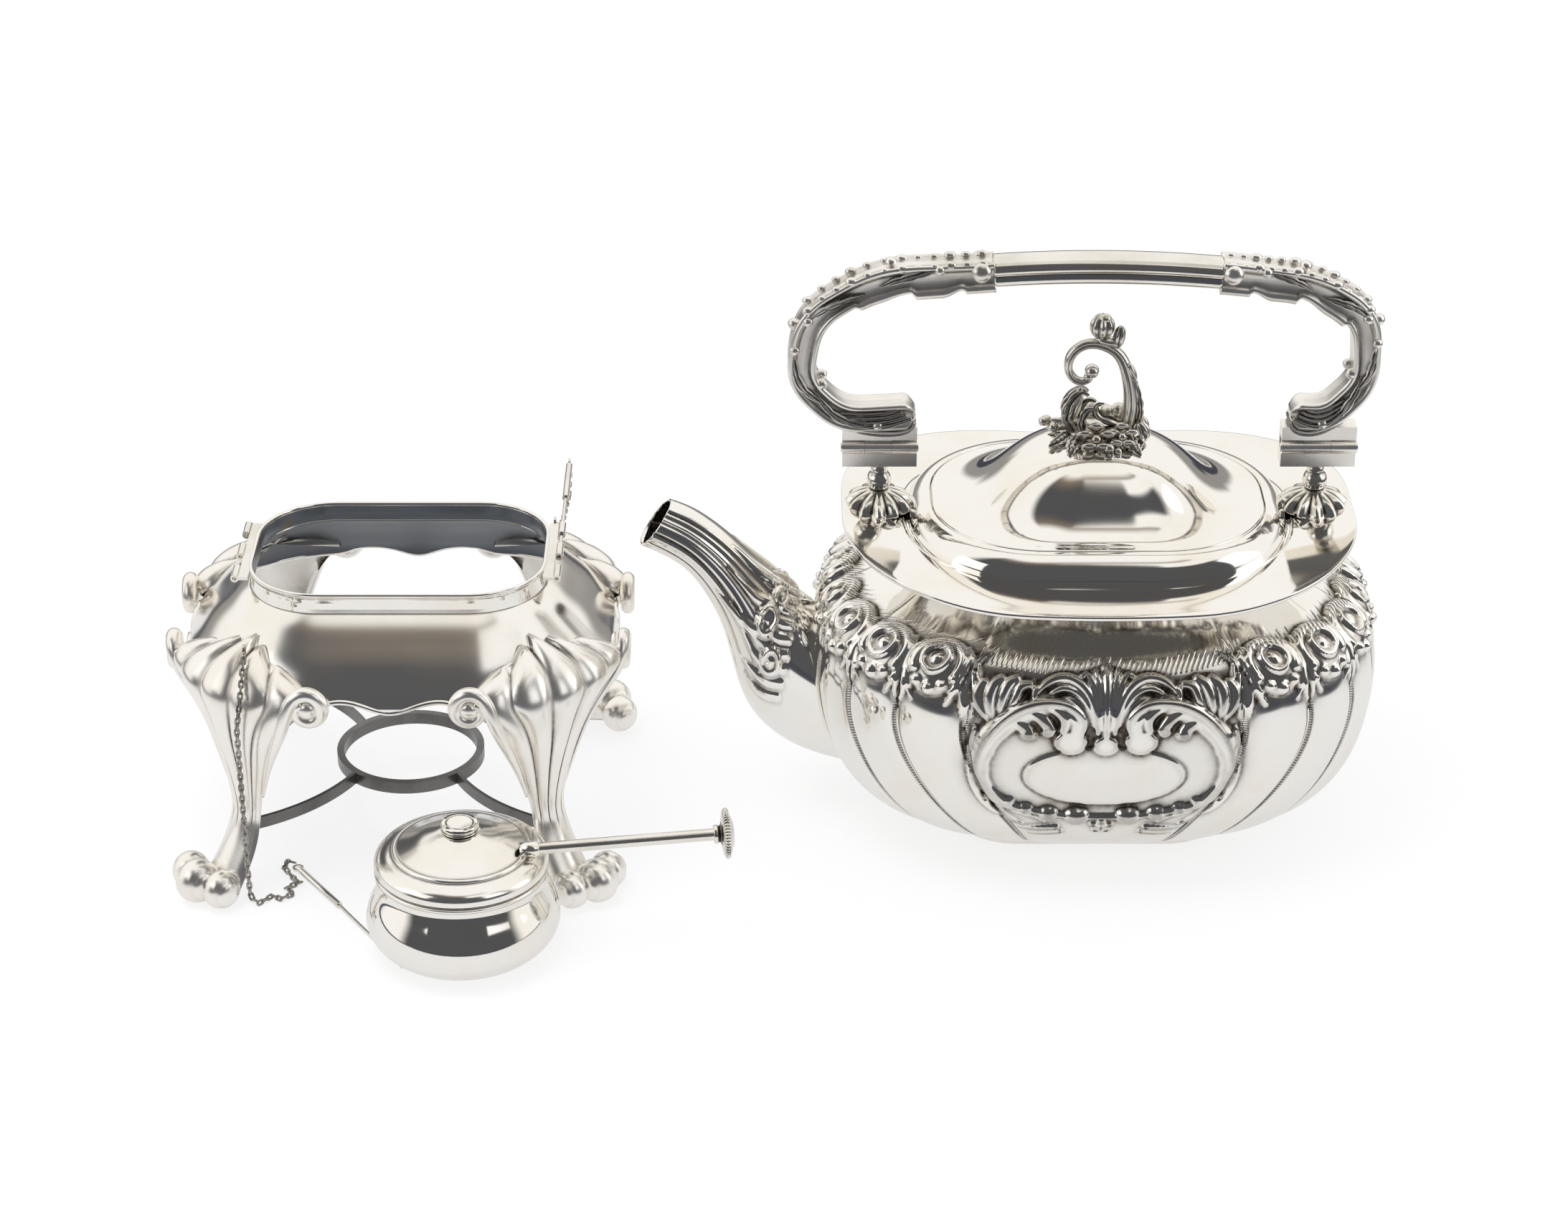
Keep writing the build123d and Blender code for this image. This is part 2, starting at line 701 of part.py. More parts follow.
def lobed_section(z, half_x, half_y, depth):
    """Level cut with one round lobe between each two grooves."""
    with BuildSketch(at(kettle_x, kettle_y, z)) as section:
        with BuildLine():
            for here, after in zip(groove_turns, groove_turns[1:]):
                start = oval_point(half_x - depth, half_y - depth, here)
                middle = oval_point(half_x, half_y, (here + after) / 2)
                end = oval_point(half_x - depth, half_y - depth, after)
                ThreePointArc(start, middle, end)
        make_face()
    return section.sketch


# Body levels: rise from foot to shoulder, then shares of half length, half width and groove depth;
# the underside keeps its size round the foot
foot_ledge = 6.0
root_long = (foot_half_x + foot_ledge) / body_half_x
root_wide = (foot_half_y + foot_ledge) / body_half_y
body_shares = (
    (0.000, root_long, root_wide, 0.10), (0.030, 0.097 + root_long, 0.097 + root_wide, 0.33), (0.098, 0.798, 0.789, 0.67),
    (0.217, 0.919, 0.919, 0.93), (0.370, 0.976, 0.978, 1.00), (0.557, 1.000, 1.000, 1.00),
    (0.711, 0.992, 0.989, 1.00), (0.830, 0.952, 0.941, 0.83), (0.915, 0.867, 0.849, 0.53),
    (0.966, 0.742, 0.735, 0.27), (1.000, 0.629, 0.638, 0.13),
)


def body_solid(wall):
    """Body as one solid, drawn in by a wall, with its floor as thick as the wall."""
    levels = []
    for number, (rise, long, wide, depth) in enumerate(body_shares):
        z = foot_height + rise * (shoulder_height - foot_height)
        lift = wall if number < 2 else 0.0
        levels.append(lobed_section(z + lift, long * body_half_x - wall, wide * body_half_y - wall,
                                    depth * groove_depth))
    with BuildPart() as body:
        loft(levels)
    return body.part


def floor_plate(thick):
    """Plate inside the foot end of the body."""
    with BuildPart() as plate:
        add(lobed_section(foot_height, root_long * body_half_x - sheet, root_wide * body_half_y - sheet,
                          body_shares[0][3] * groove_depth))
        extrude(amount=thick)
    return plate.part


save(floor_plate(sheet), "kettle_floor")
body_outside = body_solid(0.0)
with BuildPart() as kettle_body:
    add(body_outside)
    add(body_solid(sheet), mode=Mode.SUBTRACT)
    add(floor_plate(1.5 * sheet), mode=Mode.SUBTRACT)
    with BuildSketch(Plane(origin=(kettle_x - body_half_x + 20.0, kettle_y, strainer_height),
                           x_dir=(0, 1, 0), z_dir=(-1, 0, 0))):
        with GridLocations(strainer_pitch, strainer_pitch, 3, 5):
            Circle(strainer_bore / 2)
    extrude(amount=30.0, mode=Mode.SUBTRACT)
save(kettle_body.part, "kettle_body")

with BuildPart() as kettle_foot:
    with BuildSketch(at(kettle_x, kettle_y)):
        RectangleRounded(2 * foot_half_x, 2 * foot_half_y, foot_corner)
        RectangleRounded(2 * (foot_half_x - foot_wall), 2 * (foot_half_y - foot_wall),
                         foot_corner - foot_wall, mode=Mode.SUBTRACT)
    extrude(amount=foot_height)
save(kettle_foot.part, "kettle_foot")

# Lugs under the body: their knuckles line up with the strips' gaps once the kettle is on the stand
lug_z = foot_height - strip_drop


def make_lug(side):
    """Two knuckles on a strap under one end of the body."""
    x = kettle_x + side * strip_axis_x
    strap_low = lug_z + knuckle_radius + 0.3
    strap_length = knuckle_pitch * (2 * knuckle_count - 3) - 2 * running_gap
    with BuildPart() as lug:
        add(knuckle_row(x, kettle_y, lug_z, 1, knuckle_count - 1, pin_bore))
        for place in range(knuckle_count - 1):
            middle = kettle_y - strip_length / 2 + (1.5 + 2 * place) * knuckle_pitch
            with BuildSketch(at(x, middle, lug_z)):
                Rectangle(2 * knuckle_radius, knuckle_pitch - 2 * running_gap)
            extrude(amount=2 * knuckle_radius)
        with BuildSketch(at(x + side * knuckle_radius, kettle_y, strap_low)):
            Rectangle(4 * knuckle_radius, strap_length)
        extrude(amount=2 * knuckle_radius)
        with BuildSketch(Plane(origin=(x, kettle_y, lug_z), x_dir=(1, 0, 0), z_dir=(0, 1, 0))):
            Circle(pin_bore)
        extrude(amount=strip_length, both=True, mode=Mode.SUBTRACT)
        add(body_outside, mode=Mode.SUBTRACT)
    return lug.part


save(make_lug(-1), "kettle_hinge_left")
save(make_lug(1), "kettle_hinge_right")


def saddle(low, high):
    """Slab between two heights over the tray's middle that follows its curve."""
    reach = tray_half_x + 6.0
    rise = tray_rise * (reach / tray_half_x) ** 2
    with BuildPart() as slab:
        with BuildSketch(Plane(origin=(kettle_x, kettle_y, tray_height), x_dir=(1, 0, 0), z_dir=(0, -1, 0))):
            with BuildLine():
                ThreePointArc((-reach, low + rise), (0, low), (reach, low + rise))
                Line((reach, low + rise), (reach, high + rise))
                ThreePointArc((reach, high + rise), (0, high), (-reach, high + rise))
                Line((-reach, high + rise), (-reach, low + rise))
            make_face()
        extrude(amount=tray_half_y + 6.0, both=True)
    return slab.part


def ring_plan(z, grow):
    """Level cut of the mouth's outline, grown all round."""
    return cushion(kettle_x, kettle_y, z, mouth_half_x + grow, mouth_half_y + grow, mouth_corner + grow)


neck_levels = (
    (shoulder_height, neck_half_x + 3.0, neck_half_y + 2.0),
    (shoulder_height + 6.0, neck_half_x, neck_half_y),
    (tray_height + 1.0, neck_half_x + 1.0, neck_half_y + 1.0),
    (tray_height + tray_rise, neck_half_x + 1.0, neck_half_y + 1.0),
)
with BuildPart() as neck_band:
    loft([lobed_section(z, half_x, half_y, sheet / 4) for z, half_x, half_y in neck_levels])
    loft([lobed_section(z, half_x - sheet, half_y - sheet, sheet / 4) for z, half_x, half_y in neck_levels],
         mode=Mode.SUBTRACT)
    add(saddle(0.0, 3 * tray_rise), mode=Mode.SUBTRACT)
save(neck_band.part, "neck_band")

with BuildPart() as tray:
    with BuildSketch(at(kettle_x, kettle_y, tray_height - 5.0)):
        RectangleRounded(2 * tray_half_x, 2 * tray_half_y, tray_corner)
        RectangleRounded(2 * (mouth_half_x - seat_width), 2 * (mouth_half_y - seat_width),
                         mouth_corner - seat_width, mode=Mode.SUBTRACT)
    extrude(amount=3 * tray_rise)
    add(saddle(0.0, tray_thick), mode=Mode.INTERSECT)
save(tray.part, "tray")

mouth_depth = mouth_top - tray_height
with BuildPart() as mouth_ring:
    loft([
        ring_plan(tray_height, 9.0),
        ring_plan(mouth_top - 0.7 * mouth_depth, 10.0),
        ring_plan(mouth_top - 0.38 * mouth_depth, 8.5),
        ring_plan(mouth_top - 0.1 * mouth_depth, 5.5),
        ring_plan(mouth_top, 2.5),
    ])
    with BuildSketch(at(kettle_x, kettle_y, mouth_top - lid_edge)):
        RectangleRounded(2 * mouth_half_x, 2 * mouth_half_y, mouth_corner)
    extrude(amount=2 * lid_edge, mode=Mode.SUBTRACT)
    with BuildSketch(at(kettle_x, kettle_y, tray_height - 1.0)):
        RectangleRounded(2 * (mouth_half_x - seat_width), 2 * (mouth_half_y - seat_width),
                         mouth_corner - seat_width)
    extrude(amount=2 * mouth_depth, mode=Mode.SUBTRACT)
    add(saddle(-tray_rise, tray_thick), mode=Mode.SUBTRACT)
save(mouth_ring.part, "mouth_ring")

# Lid: flat edge in the moulding's seat, then a dome; levels give half sizes and a share of the rise
lid_levels = (
    (66.0, 50.0, 0.00), (61.0, 46.5, 0.02), (54.0, 42.0, 0.07), (47.0, 38.0, 0.18), (41.0, 34.0, 0.375),
    (35.0, 29.5, 0.625), (28.0, 24.0, 0.82), (18.0, 16.0, 0.95), (8.0, 8.0, 1.00),
)
lid_half_x = mouth_half_x - lid_gap
lid_half_y = mouth_half_y - lid_gap


def dome_level(half_x, half_y, z):
    """Level cut of the lid's dome, nearly an oval."""
    return cushion(kettle_x, kettle_y, z, half_x, half_y, 0.92 * half_y)


with BuildPart() as dome:
    loft([dome_level(x, y, mouth_top + rise * dome_height) for x, y, rise in lid_levels])
with BuildPart() as dome_hollow:
    loft([dome_level(x - 1.3 * sheet, y - 1.3 * sheet, mouth_top + rise * dome_height - sheet)
          for x, y, rise in lid_levels[:-1]])
with BuildPart() as lid:
    with BuildSketch(at(kettle_x, kettle_y, mouth_top - lid_edge)):
        RectangleRounded(2 * lid_half_x, 2 * lid_half_y, mouth_corner - lid_gap)
        RectangleRounded(2 * (lid_levels[0][0] - 1.3 * sheet), 2 * (lid_levels[0][1] - 1.3 * sheet),
                         0.92 * (lid_levels[0][1] - 1.3 * sheet), mode=Mode.SUBTRACT)
    extrude(amount=lid_edge)
    add(dome.part)
    add(dome_hollow.part, mode=Mode.SUBTRACT)
    with BuildSketch(at(kettle_x, kettle_y, mouth_top)):
        Circle(stud_radius)
    extrude(amount=dome_height + 2.0, mode=Mode.SUBTRACT)
save(lid.part, "lid")


def bend_radii(points):
    """Radius at each corner of a route, as large as its two runs allow."""
    radii = []
    for before, here, after in zip(points, points[1:], points[2:]):
        first = Vector(here[0] - before[0], here[1] - before[1])
        last = Vector(after[0] - here[0], after[1] - here[1])
        turn = radians(first.get_angle(last))
        radii.append(0.45 * min(first.length, last.length) / tan(turn / 2))
    return radii


# Finial: leaf mound with the stud that the nut holds, one round scroll and a bud
lid_top = mouth_top + dome_height
nut_top = lid_top - 0.05 * dome_height - sheet
kettle_front = Plane(origin=(kettle_x, kettle_y, 0), x_dir=(1, 0, 0), z_dir=(0, -1, 0))
leaves_height = 9.5
scroll_line = [(x, lid_top + rise) for x, rise in (
    (3.0, leaves_height), (3.0, 16.0), (12.5, 21.0), (15.0, 32.0), (7.0, 41.5), (-6.0, 41.5), (-13.5, 33.0),
    (-12.0, 22.5), (-3.0, 21.5),
)]
with BuildPart() as finial_leaves:
    loft([
        dome_level(25.0, 21.0, lid_top - 4.5),
        dome_level(20.5, 17.5, lid_top),
        dome_level(12.0, 11.0, lid_top + 4.0),
        dome_level(7.0, 6.0, lid_top + leaves_height),
    ])
    add(dome.part, mode=Mode.SUBTRACT)
    with BuildSketch(at(kettle_x, kettle_y, nut_top - nut_height - 1.0)):
        Circle(stud_radius)
    extrude(amount=lid_top + 2.0 - nut_top + nut_height)
save(finial_leaves.part, "finial_leaves")

with BuildPart() as finial:
    with BuildLine(kettle_front) as scroll:
        FilletPolyline(*scroll_line, radius=bend_radii(scroll_line))
    way = scroll.wires()[0]
    with BuildSketch(Plane(origin=way @ 0, z_dir=way % 0)):
        Circle(finial_wire)
    sweep(path=way)
save(finial.part, "finial")

bud_x = 2.6
bud_levels = ((44.6, 2.6), (47.0, 5.0), (50.0, 5.3), (52.6, 3.6), (54.5, 1.3))
with BuildPart() as finial_bud:
    for rise, radius in bud_levels:
        with BuildSketch(at(kettle_x + bud_x, kettle_y, lid_top + rise)):
            Circle(radius)
    loft()
    add(finial.part, mode=Mode.SUBTRACT)
save(finial_bud.part, "finial_bud")

with BuildPart() as finial_nut:
    with BuildSketch(at(kettle_x, kettle_y, nut_top - nut_height)):
        RegularPolygon(nut_radius, 6)
        Circle(stud_radius, mode=Mode.SUBTRACT)
    extrude(amount=nut_height)
save(finial_nut.part, "finial_nut")

# Spout: ellipses given by their lowest and highest points in side view, measured out from the body's
# end, and a share of the narrowing
spout_levels = (
    ((16.0, 22.0), (12.0, 88.0), 0.00),
    ((-5.0, 29.5), (2.0, 98.0), 0.07),
    ((-22.0, 44.0), (-7.0, 106.0), 0.28),
    ((-30.0, 62.0), (-14.0, 112.0), 0.50),
    ((-36.0, 86.0), (-23.0, 120.0), 0.68),
    ((-43.5, 103.3), (-34.0, 131.0), 0.79),
    ((-54.0, 117.0), (-47.0, 141.0), 0.86),
    ((-71.0, 126.5), (-57.5, 146.0), 1.00),
)


def spout_section(low, high, narrowing, wall):
    """Ellipse across the spout, drawn in by a wall."""
    span = Vector(high[0] - low[0], 0, high[1] - low[1])
    middle = (kettle_x - body_half_x + (low[0] + high[0]) / 2, kettle_y, (low[1] + high[1]) / 2)
    width = spout_root_width - narrowing * (spout_root_width - spout_tip_width)
    with BuildSketch(Plane(origin=middle, x_dir=(0, 1, 0), z_dir=Vector(0, 1, 0).cross(span))) as section:
        Ellipse(width / 2 - wall, span.length / 2 - wall)
    return section.sketch


with BuildPart() as spout:
    loft([spout_section(*level, 0.0) for level in spout_levels])
    loft([spout_section(*level, sheet) for level in spout_levels], mode=Mode.SUBTRACT)
    add(body_outside, mode=Mode.SUBTRACT)
save(spout.part, "spout")

# Posts of the handle: a calyx on the tray and a ball under each hinge
hinge_y = kettle_y + hinge_back
barrel_y = hinge_y - leaf_depth / 2
leaf_offset = barrel_radius + leaf_gap
post_top = hinge_axis_height - leaf_offset - leaf_height
ball_centre = post_top - 0.4 * ball_radius
ball_cap = (ball_radius ** 2 - (post_top - ball_centre) ** 2) ** 0.5
sides = {"left": -1, "right": 1}


def make_post(side):
    """Turned post: wide calyx, thin waist and a ball cut flat on top."""
    x = kettle_x + side * hinge_x
    waist = ball_centre - 0.82 * ball_radius
    with BuildPart() as post:
        with BuildSketch(Plane(origin=(x, hinge_y, 0), x_dir=(1, 0, 0), z_dir=(0, -1, 0))):
            with BuildLine():
                Polyline((0, tray_height), (post_radius - 1.4, tray_height), (post_radius, waist - 9.0))
                ThreePointArc((post_radius, waist - 9.0), (0.6 * post_radius, waist - 4.0), (4.0, waist))
                ThreePointArc((4.0, waist), (ball_radius, ball_centre), (ball_cap, post_top))
                Polyline((ball_cap, post_top), (0, post_top), (0, tray_height))
            make_face()
        revolve(axis=Axis((x, hinge_y, 0), (0, 0, 1)))
        add(saddle(-tray_rise, tray_thick), mode=Mode.SUBTRACT)
        add(mouth_ring.part, mode=Mode.SUBTRACT)
    return post.part


def hinge_leaf(side, up):
    """One leaf of a handle hinge: a block, its rear lip and its knuckles, up being 1 or -1."""
    x = kettle_x + side * hinge_x
    runs = list(zip(knuckle_shares, knuckle_shares[1:]))
    own_runs = runs[1::2] if up > 0 else runs[0::2]
    bore = hinge_pin_radius + (running_gap if up > 0 else 0.0)
    near = hinge_axis_height + up * leaf_offset
    lip_height = leaf_offset - lip_gap
    with BuildPart() as leaf:
        with Locations((x, hinge_y, near + up * leaf_height / 2)):
            Box(hinge_length, leaf_depth, leaf_height)
        with Locations((x, barrel_y + leaf_depth - lip_depth / 2, near - up * lip_height / 2)):
            Box(hinge_length, lip_depth, lip_height)
        for start, end in own_runs:
            begin = x + (start - 0.5) * hinge_length + running_gap
            with BuildSketch(Plane(origin=(begin, barrel_y, hinge_axis_height), x_dir=(0, 1, 0),
                                   z_dir=(1, 0, 0))):
                Circle(barrel_radius)
                with Locations((barrel_radius / 2, up * leaf_offset / 2)):
                    Rectangle(barrel_radius, leaf_offset)
            extrude(amount=(end - start) * hinge_length - 2 * running_gap)
        with BuildSketch(Plane(origin=(x, barrel_y, hinge_axis_height), x_dir=(0, 1, 0), z_dir=(1, 0, 0))):
            Circle(bore)
        extrude(amount=hinge_length, both=True, mode=Mode.SUBTRACT)
    return leaf.part


def hinge_pin(side):
    """Pin of a handle hinge, with a low head at each end."""
    x = kettle_x + side * hinge_x
    with BuildPart() as pin:
        with BuildSketch(Plane(origin=(x, barrel_y, hinge_axis_height), x_dir=(0, 1, 0), z_dir=(1, 0, 0))):
            Circle(hinge_pin_radius)
        extrude(amount=hinge_length / 2, both=True)
        for end in (-1, 1):
            with BuildSketch(Plane(origin=(x + end * (hinge_length / 2 - running_gap), barrel_y,
                                           hinge_axis_height), x_dir=(0, 1, 0), z_dir=(end, 0, 0))):
                Circle(1.5 * hinge_pin_radius)
            extrude(amount=0.5 * hinge_pin_radius)
    return pin.part


upper_leaves = {name: hinge_leaf(side, 1) for name, side in sides.items()}
for name, side in sides.items():
    save(make_post(side), f"post_{name}")
    save(hinge_leaf(side, -1), f"lower_leaf_{name}")
    save(upper_leaves[name], f"upper_leaf_{name}")
    save(hinge_pin(side), f"hinge_pin_{name}")

# Handle: two scrolled arms and an arched grip, given in front view from the middle, over the hinge axis
handle_front = Plane(origin=(kettle_x, hinge_y, hinge_axis_height), x_dir=(1, 0, 0), z_dir=(0, -1, 0))
arm_lines = {
    "left": ((-78.0, 15.0), (-110.0, 13.0), (-127.5, 30.5), (-122.5, 59.5), (-97.0, 75.67), (-46.0, 79.5)),
    "right": ((80.0, 15.0), (96.0, 14.0), (111.5, 30.5), (109.5, 59.5), (86.0, 74.85), (48.0, 78.5)),
}
grip_middle = (0.0, 81.0)


def handle_arm(name):
    """Arm of the handle, from its hinge leaf to a stepped block beside the grip."""
    line = arm_lines[name]
    with BuildPart() as arm:
        with BuildLine(handle_front) as route:
            FilletPolyline(*line, radius=bend_radii(line))
        way = route.wires()[0]
        with BuildSketch(Plane(origin=way @ 0, x_dir=(0, 1, 0), z_dir=way % 0)):
            RectangleRounded(handle_deep, handle_thick, handle_corner)
        sweep(path=way)
        with BuildSketch(Plane(origin=way @ 1, x_dir=(0, 1, 0), z_dir=-(way % 1))):
            RectangleRounded(handle_deep + block_grow, handle_thick + block_grow, handle_corner)
        extrude(amount=block_length)
        add(upper_leaves[name], mode=Mode.SUBTRACT)
    return arm.part


for name in arm_lines:
    save(handle_arm(name), f"handle_arm_{name}")

with BuildPart() as handle_grip:
    with BuildLine(handle_front) as arch:
        ThreePointArc(arm_lines["left"][-1], grip_middle, arm_lines["right"][-1])
    way = arch.wires()[0]
    with BuildSketch(Plane(origin=way @ 0, x_dir=(0, 1, 0), z_dir=way % 0)):
        RectangleRounded(handle_deep, handle_thick, handle_corner)
    sweep(path=way)
save(handle_grip.part, "handle_grip")
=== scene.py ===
"""Tea kettle, spirit burner and footed stand of one silver set, dressed for rendering."""

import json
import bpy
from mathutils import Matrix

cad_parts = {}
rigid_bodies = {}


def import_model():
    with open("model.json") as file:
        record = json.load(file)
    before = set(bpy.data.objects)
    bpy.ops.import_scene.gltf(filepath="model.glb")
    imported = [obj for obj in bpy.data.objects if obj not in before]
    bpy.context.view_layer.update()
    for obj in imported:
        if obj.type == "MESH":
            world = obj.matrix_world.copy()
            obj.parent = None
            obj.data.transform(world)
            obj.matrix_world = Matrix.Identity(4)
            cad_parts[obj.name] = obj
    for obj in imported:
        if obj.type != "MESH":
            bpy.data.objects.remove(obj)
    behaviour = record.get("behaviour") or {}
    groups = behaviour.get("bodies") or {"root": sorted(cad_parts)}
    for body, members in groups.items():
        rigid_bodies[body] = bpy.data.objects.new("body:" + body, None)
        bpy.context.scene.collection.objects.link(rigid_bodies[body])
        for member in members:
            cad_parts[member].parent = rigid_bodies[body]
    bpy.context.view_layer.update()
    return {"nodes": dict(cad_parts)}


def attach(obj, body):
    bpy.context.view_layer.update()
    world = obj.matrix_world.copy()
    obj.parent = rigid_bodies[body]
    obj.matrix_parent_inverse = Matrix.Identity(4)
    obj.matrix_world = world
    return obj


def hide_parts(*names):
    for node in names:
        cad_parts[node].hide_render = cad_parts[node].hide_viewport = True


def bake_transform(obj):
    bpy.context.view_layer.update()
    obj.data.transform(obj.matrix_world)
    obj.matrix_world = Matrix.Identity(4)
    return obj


bl_info = {
    "name": "Silver Kettle Set",
    "version": (1, 0, 0),
    "blender": (4, 5, 0),
    "location": "View3D > Sidebar > Kettle Set",
    "description": "Models a chased silver kettle with its spirit burner and stand",
    "category": "Object",
}

from math import acos, atan2, cos, hypot, pi, radians, sin

import bpy
import numpy as np
from bpy.props import FloatProperty, FloatVectorProperty, IntProperty, PointerProperty

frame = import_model()
nodes = frame["nodes"]

# Lengths below are millimetres; the meshes are written in metres
MM = 0.001
# Vertices that are nearer than this many metres become one
MERGE = 1e-6
# Thickness of the sheet silver
SHEET = 1.2
# Power of the cosine and sine in the kettle's squarish oval
OVAL = 2 / 2.6
SIDES = {"left": -1, "right": 1}
stand_at = np.array((-161.7, 27.1, 0.0))
burner_at = np.array((-130.7, -86.9, 0.0))
kettle_at = np.array((135.8, 34.6, 0.0))

finishes = {}
# Names of the pieces that the stand's own card of light reaches
stand_side = set()


# Lines


def run_of(line):
    """Distance from a line's start at each of its points."""
    return np.concatenate([[0.0], np.cumsum(np.linalg.norm(np.diff(line, axis=0), axis=1))])


def unit(vectors):
    """The same vectors at length 1."""
    vectors = np.asarray(vectors, float)
    return vectors / np.maximum(np.linalg.norm(vectors, axis=-1, keepdims=True), 1e-9)


def quarter(ways):
    """Plane vectors turned a quarter to the right."""
    return np.stack([ways[:, 1], -ways[:, 0]], axis=1)


def bowed(value, power):
    """Value with its size raised to a power and its sign kept."""
    return np.sign(value) * np.abs(value) ** power


def full_turn(count):
    """Turns in equal steps round a full circle."""
    return np.linspace(0, 2 * pi, count, endpoint=False)


def even(line, count):
    """The same line, cut in equal steps."""
    line = np.asarray(line, float)
    run = run_of(line)
    at = np.linspace(0, run[-1], count)
    return np.stack([np.interp(at, run, column) for column in line.T], axis=1)


def curve_through(points, count):
    """Smooth curve through points of any dimension, in equal steps."""
    points = np.asarray(points, float)
    gaps = np.linalg.norm(np.diff(points, axis=0), axis=1)
    knots = np.concatenate([[0.0], np.cumsum(np.sqrt(np.maximum(gaps, 1e-9)))])
    steps = np.diff(knots)
    total = len(points)
    matrix = np.eye(total)
    right = np.zeros_like(points)
    for i in range(1, total - 1):
        matrix[i, i - 1:i + 2] = steps[i - 1], 2 * (steps[i - 1] + steps[i]), steps[i]
        right[i] = 6 * ((points[i + 1] - points[i]) / steps[i] - (points[i] - points[i - 1]) / steps[i - 1])
    bend = np.linalg.solve(matrix, right)
    fine = np.linspace(0, knots[-1], max(40 * total, 4 * count))
    i = np.clip(np.searchsorted(knots, fine, side="right") - 1, 0, total - 2)
    past = (fine - knots[i])[:, None]
    left = (knots[i + 1] - fine)[:, None]
    step = steps[i][:, None]
    line = (bend[i] * left ** 3 + bend[i + 1] * past ** 3) / (6 * step)
    line = line + (points[i] / step - bend[i] * step / 6) * left
    line = line + (points[i + 1] / step - bend[i + 1] * step / 6) * past
    return even(line, count)


def soft_corners(points, radius, steps=4):
    """Polyline whose corners are rounded, with a close pair of points at each end of a rounding."""
    points = np.asarray(points, float)
    line = [points[0]]
    for before, here, after in zip(points, points[1:], points[2:]):
        ways = np.array((before - here, after - here))
        back, on = unit(ways) * min(radius, 0.4 * np.linalg.norm(ways, axis=1).min())
        bend = [(1 - share) ** 2 * (here + back) + 2 * share * (1 - share) * here + share ** 2 * (here + on)
                for share in np.linspace(0, 1, steps + 1)]
        line += [here + back * 1.2, *bend, here + on * 1.2]
    return np.array(line + [points[-1]])


def rise(value, low, high):
    """Smooth step from 0 at low to 1 at high."""
    share = np.clip((value - low) / (high - low), 0, 1)
    return share * share * (3 - 2 * share)


# Meshes


def only(piece):
    """Select one object and make it active."""
    bpy.ops.object.select_all(action="DESELECT")
    piece.select_set(True)
    bpy.context.view_layer.objects.active = piece


def edit_all(piece):
    """Merge doubles and turn the normals outwards."""
    only(piece)
    bpy.ops.object.mode_set(mode="EDIT")
    bpy.ops.mesh.select_all(action="SELECT")
    bpy.ops.mesh.remove_doubles(threshold=MERGE)
    bpy.ops.mesh.normals_make_consistent(inside=False)
    bpy.ops.object.mode_set(mode="OBJECT")


def wrap_grid(name, points, around=True):
    """Grid laid on rows of points; its seam and its poles are merged."""
    points = np.asarray(points, float)
    if around:
        points = np.concatenate([points, points[:, :1]], axis=1)
    rows, columns = points.shape[:2]
    bpy.ops.object.select_all(action="DESELECT")
    bpy.ops.mesh.primitive_grid_add(x_subdivisions=columns - 1, y_subdivisions=rows - 1)
    piece = bpy.context.object
    piece.name = piece.data.name = name
    piece.data.vertices.foreach_set("co", (points * MM).astype(np.float32).ravel())
    piece.data.update()
    edit_all(piece)
    bpy.ops.object.shade_smooth()
    return piece


def turned(name, outline, centre, axis=(0, 0, 1), sides=128, ripples=0):
    """Outline of (radius, distance) pairs turned round an axis; a third number is a ripple's depth."""
    axis = unit(axis)
    aside = unit(np.cross(axis, (0, 0, 1) if abs(axis[2]) < 0.9 else (0, 1, 0)))
    turns = full_turn(sides)
    ring = np.cos(turns)[:, None] * aside + np.sin(turns)[:, None] * np.cross(axis, aside)
    wave = np.cos(ripples * turns)
    rows = []
    for radius, along, *ripple in outline:
        reach = np.maximum(radius + sum(ripple) * wave, 0.0)
        rows.append(centre + along * axis + ring * reach[:, None])
    return wrap_grid(name, rows)


def capped(rows, ends=None):
    """Rows of a tube and a point at each end: a given one, or the middle of the row there."""
    rows = np.asarray(rows)
    ends = rows[[0, -1]].mean(axis=1) if ends is None else ends
    ends = np.repeat(ends[:, None], rows.shape[1], axis=1)
    return np.concatenate([ends[:1], rows, ends[1:]])


def frames_along(path, up):
    """Two axes across a path at each of its points, kept from twisting."""
    ahead = unit(np.gradient(path, axis=0))
    side = unit(np.cross(up, ahead[0]))
    sides = []
    for way in ahead:
        side = unit(side - way * np.dot(side, way))
        sides.append(side)
    return np.array(sides), np.cross(ahead, sides)


def swept(name, path, sizes, section, up=(0, 0, 1)):
    """Section swept along a path and scaled by a size at each point."""
    across, over = frames_along(path, up)
    flat, tall = (section[None, :, k, None] * sizes[:, None, None] for k in (0, 1))
    rows = path[:, None] + flat * across[:, None] + tall * over[:, None]
    return wrap_grid(name, capped(rows, path[[0, -1]]))


def joined(name, pieces):
    """Several pieces as one object."""
    bpy.ops.object.select_all(action="DESELECT")
    for piece in pieces:
        piece.select_set(True)
    bpy.context.view_layer.objects.active = pieces[0]
    if len(pieces) > 1:
        bpy.ops.object.join()
    pieces[0].name = pieces[0].data.name = name
    return pieces[0]


def per_vertex(piece, kind):
    """Places ("co") or normals ("normal") of a piece's vertices, as rows of three numbers."""
    values = np.zeros(len(piece.data.vertices) * 3, np.float32)
    piece.data.vertices.foreach_get(kind, values)
    return values.reshape(-1, 3).astype(float)


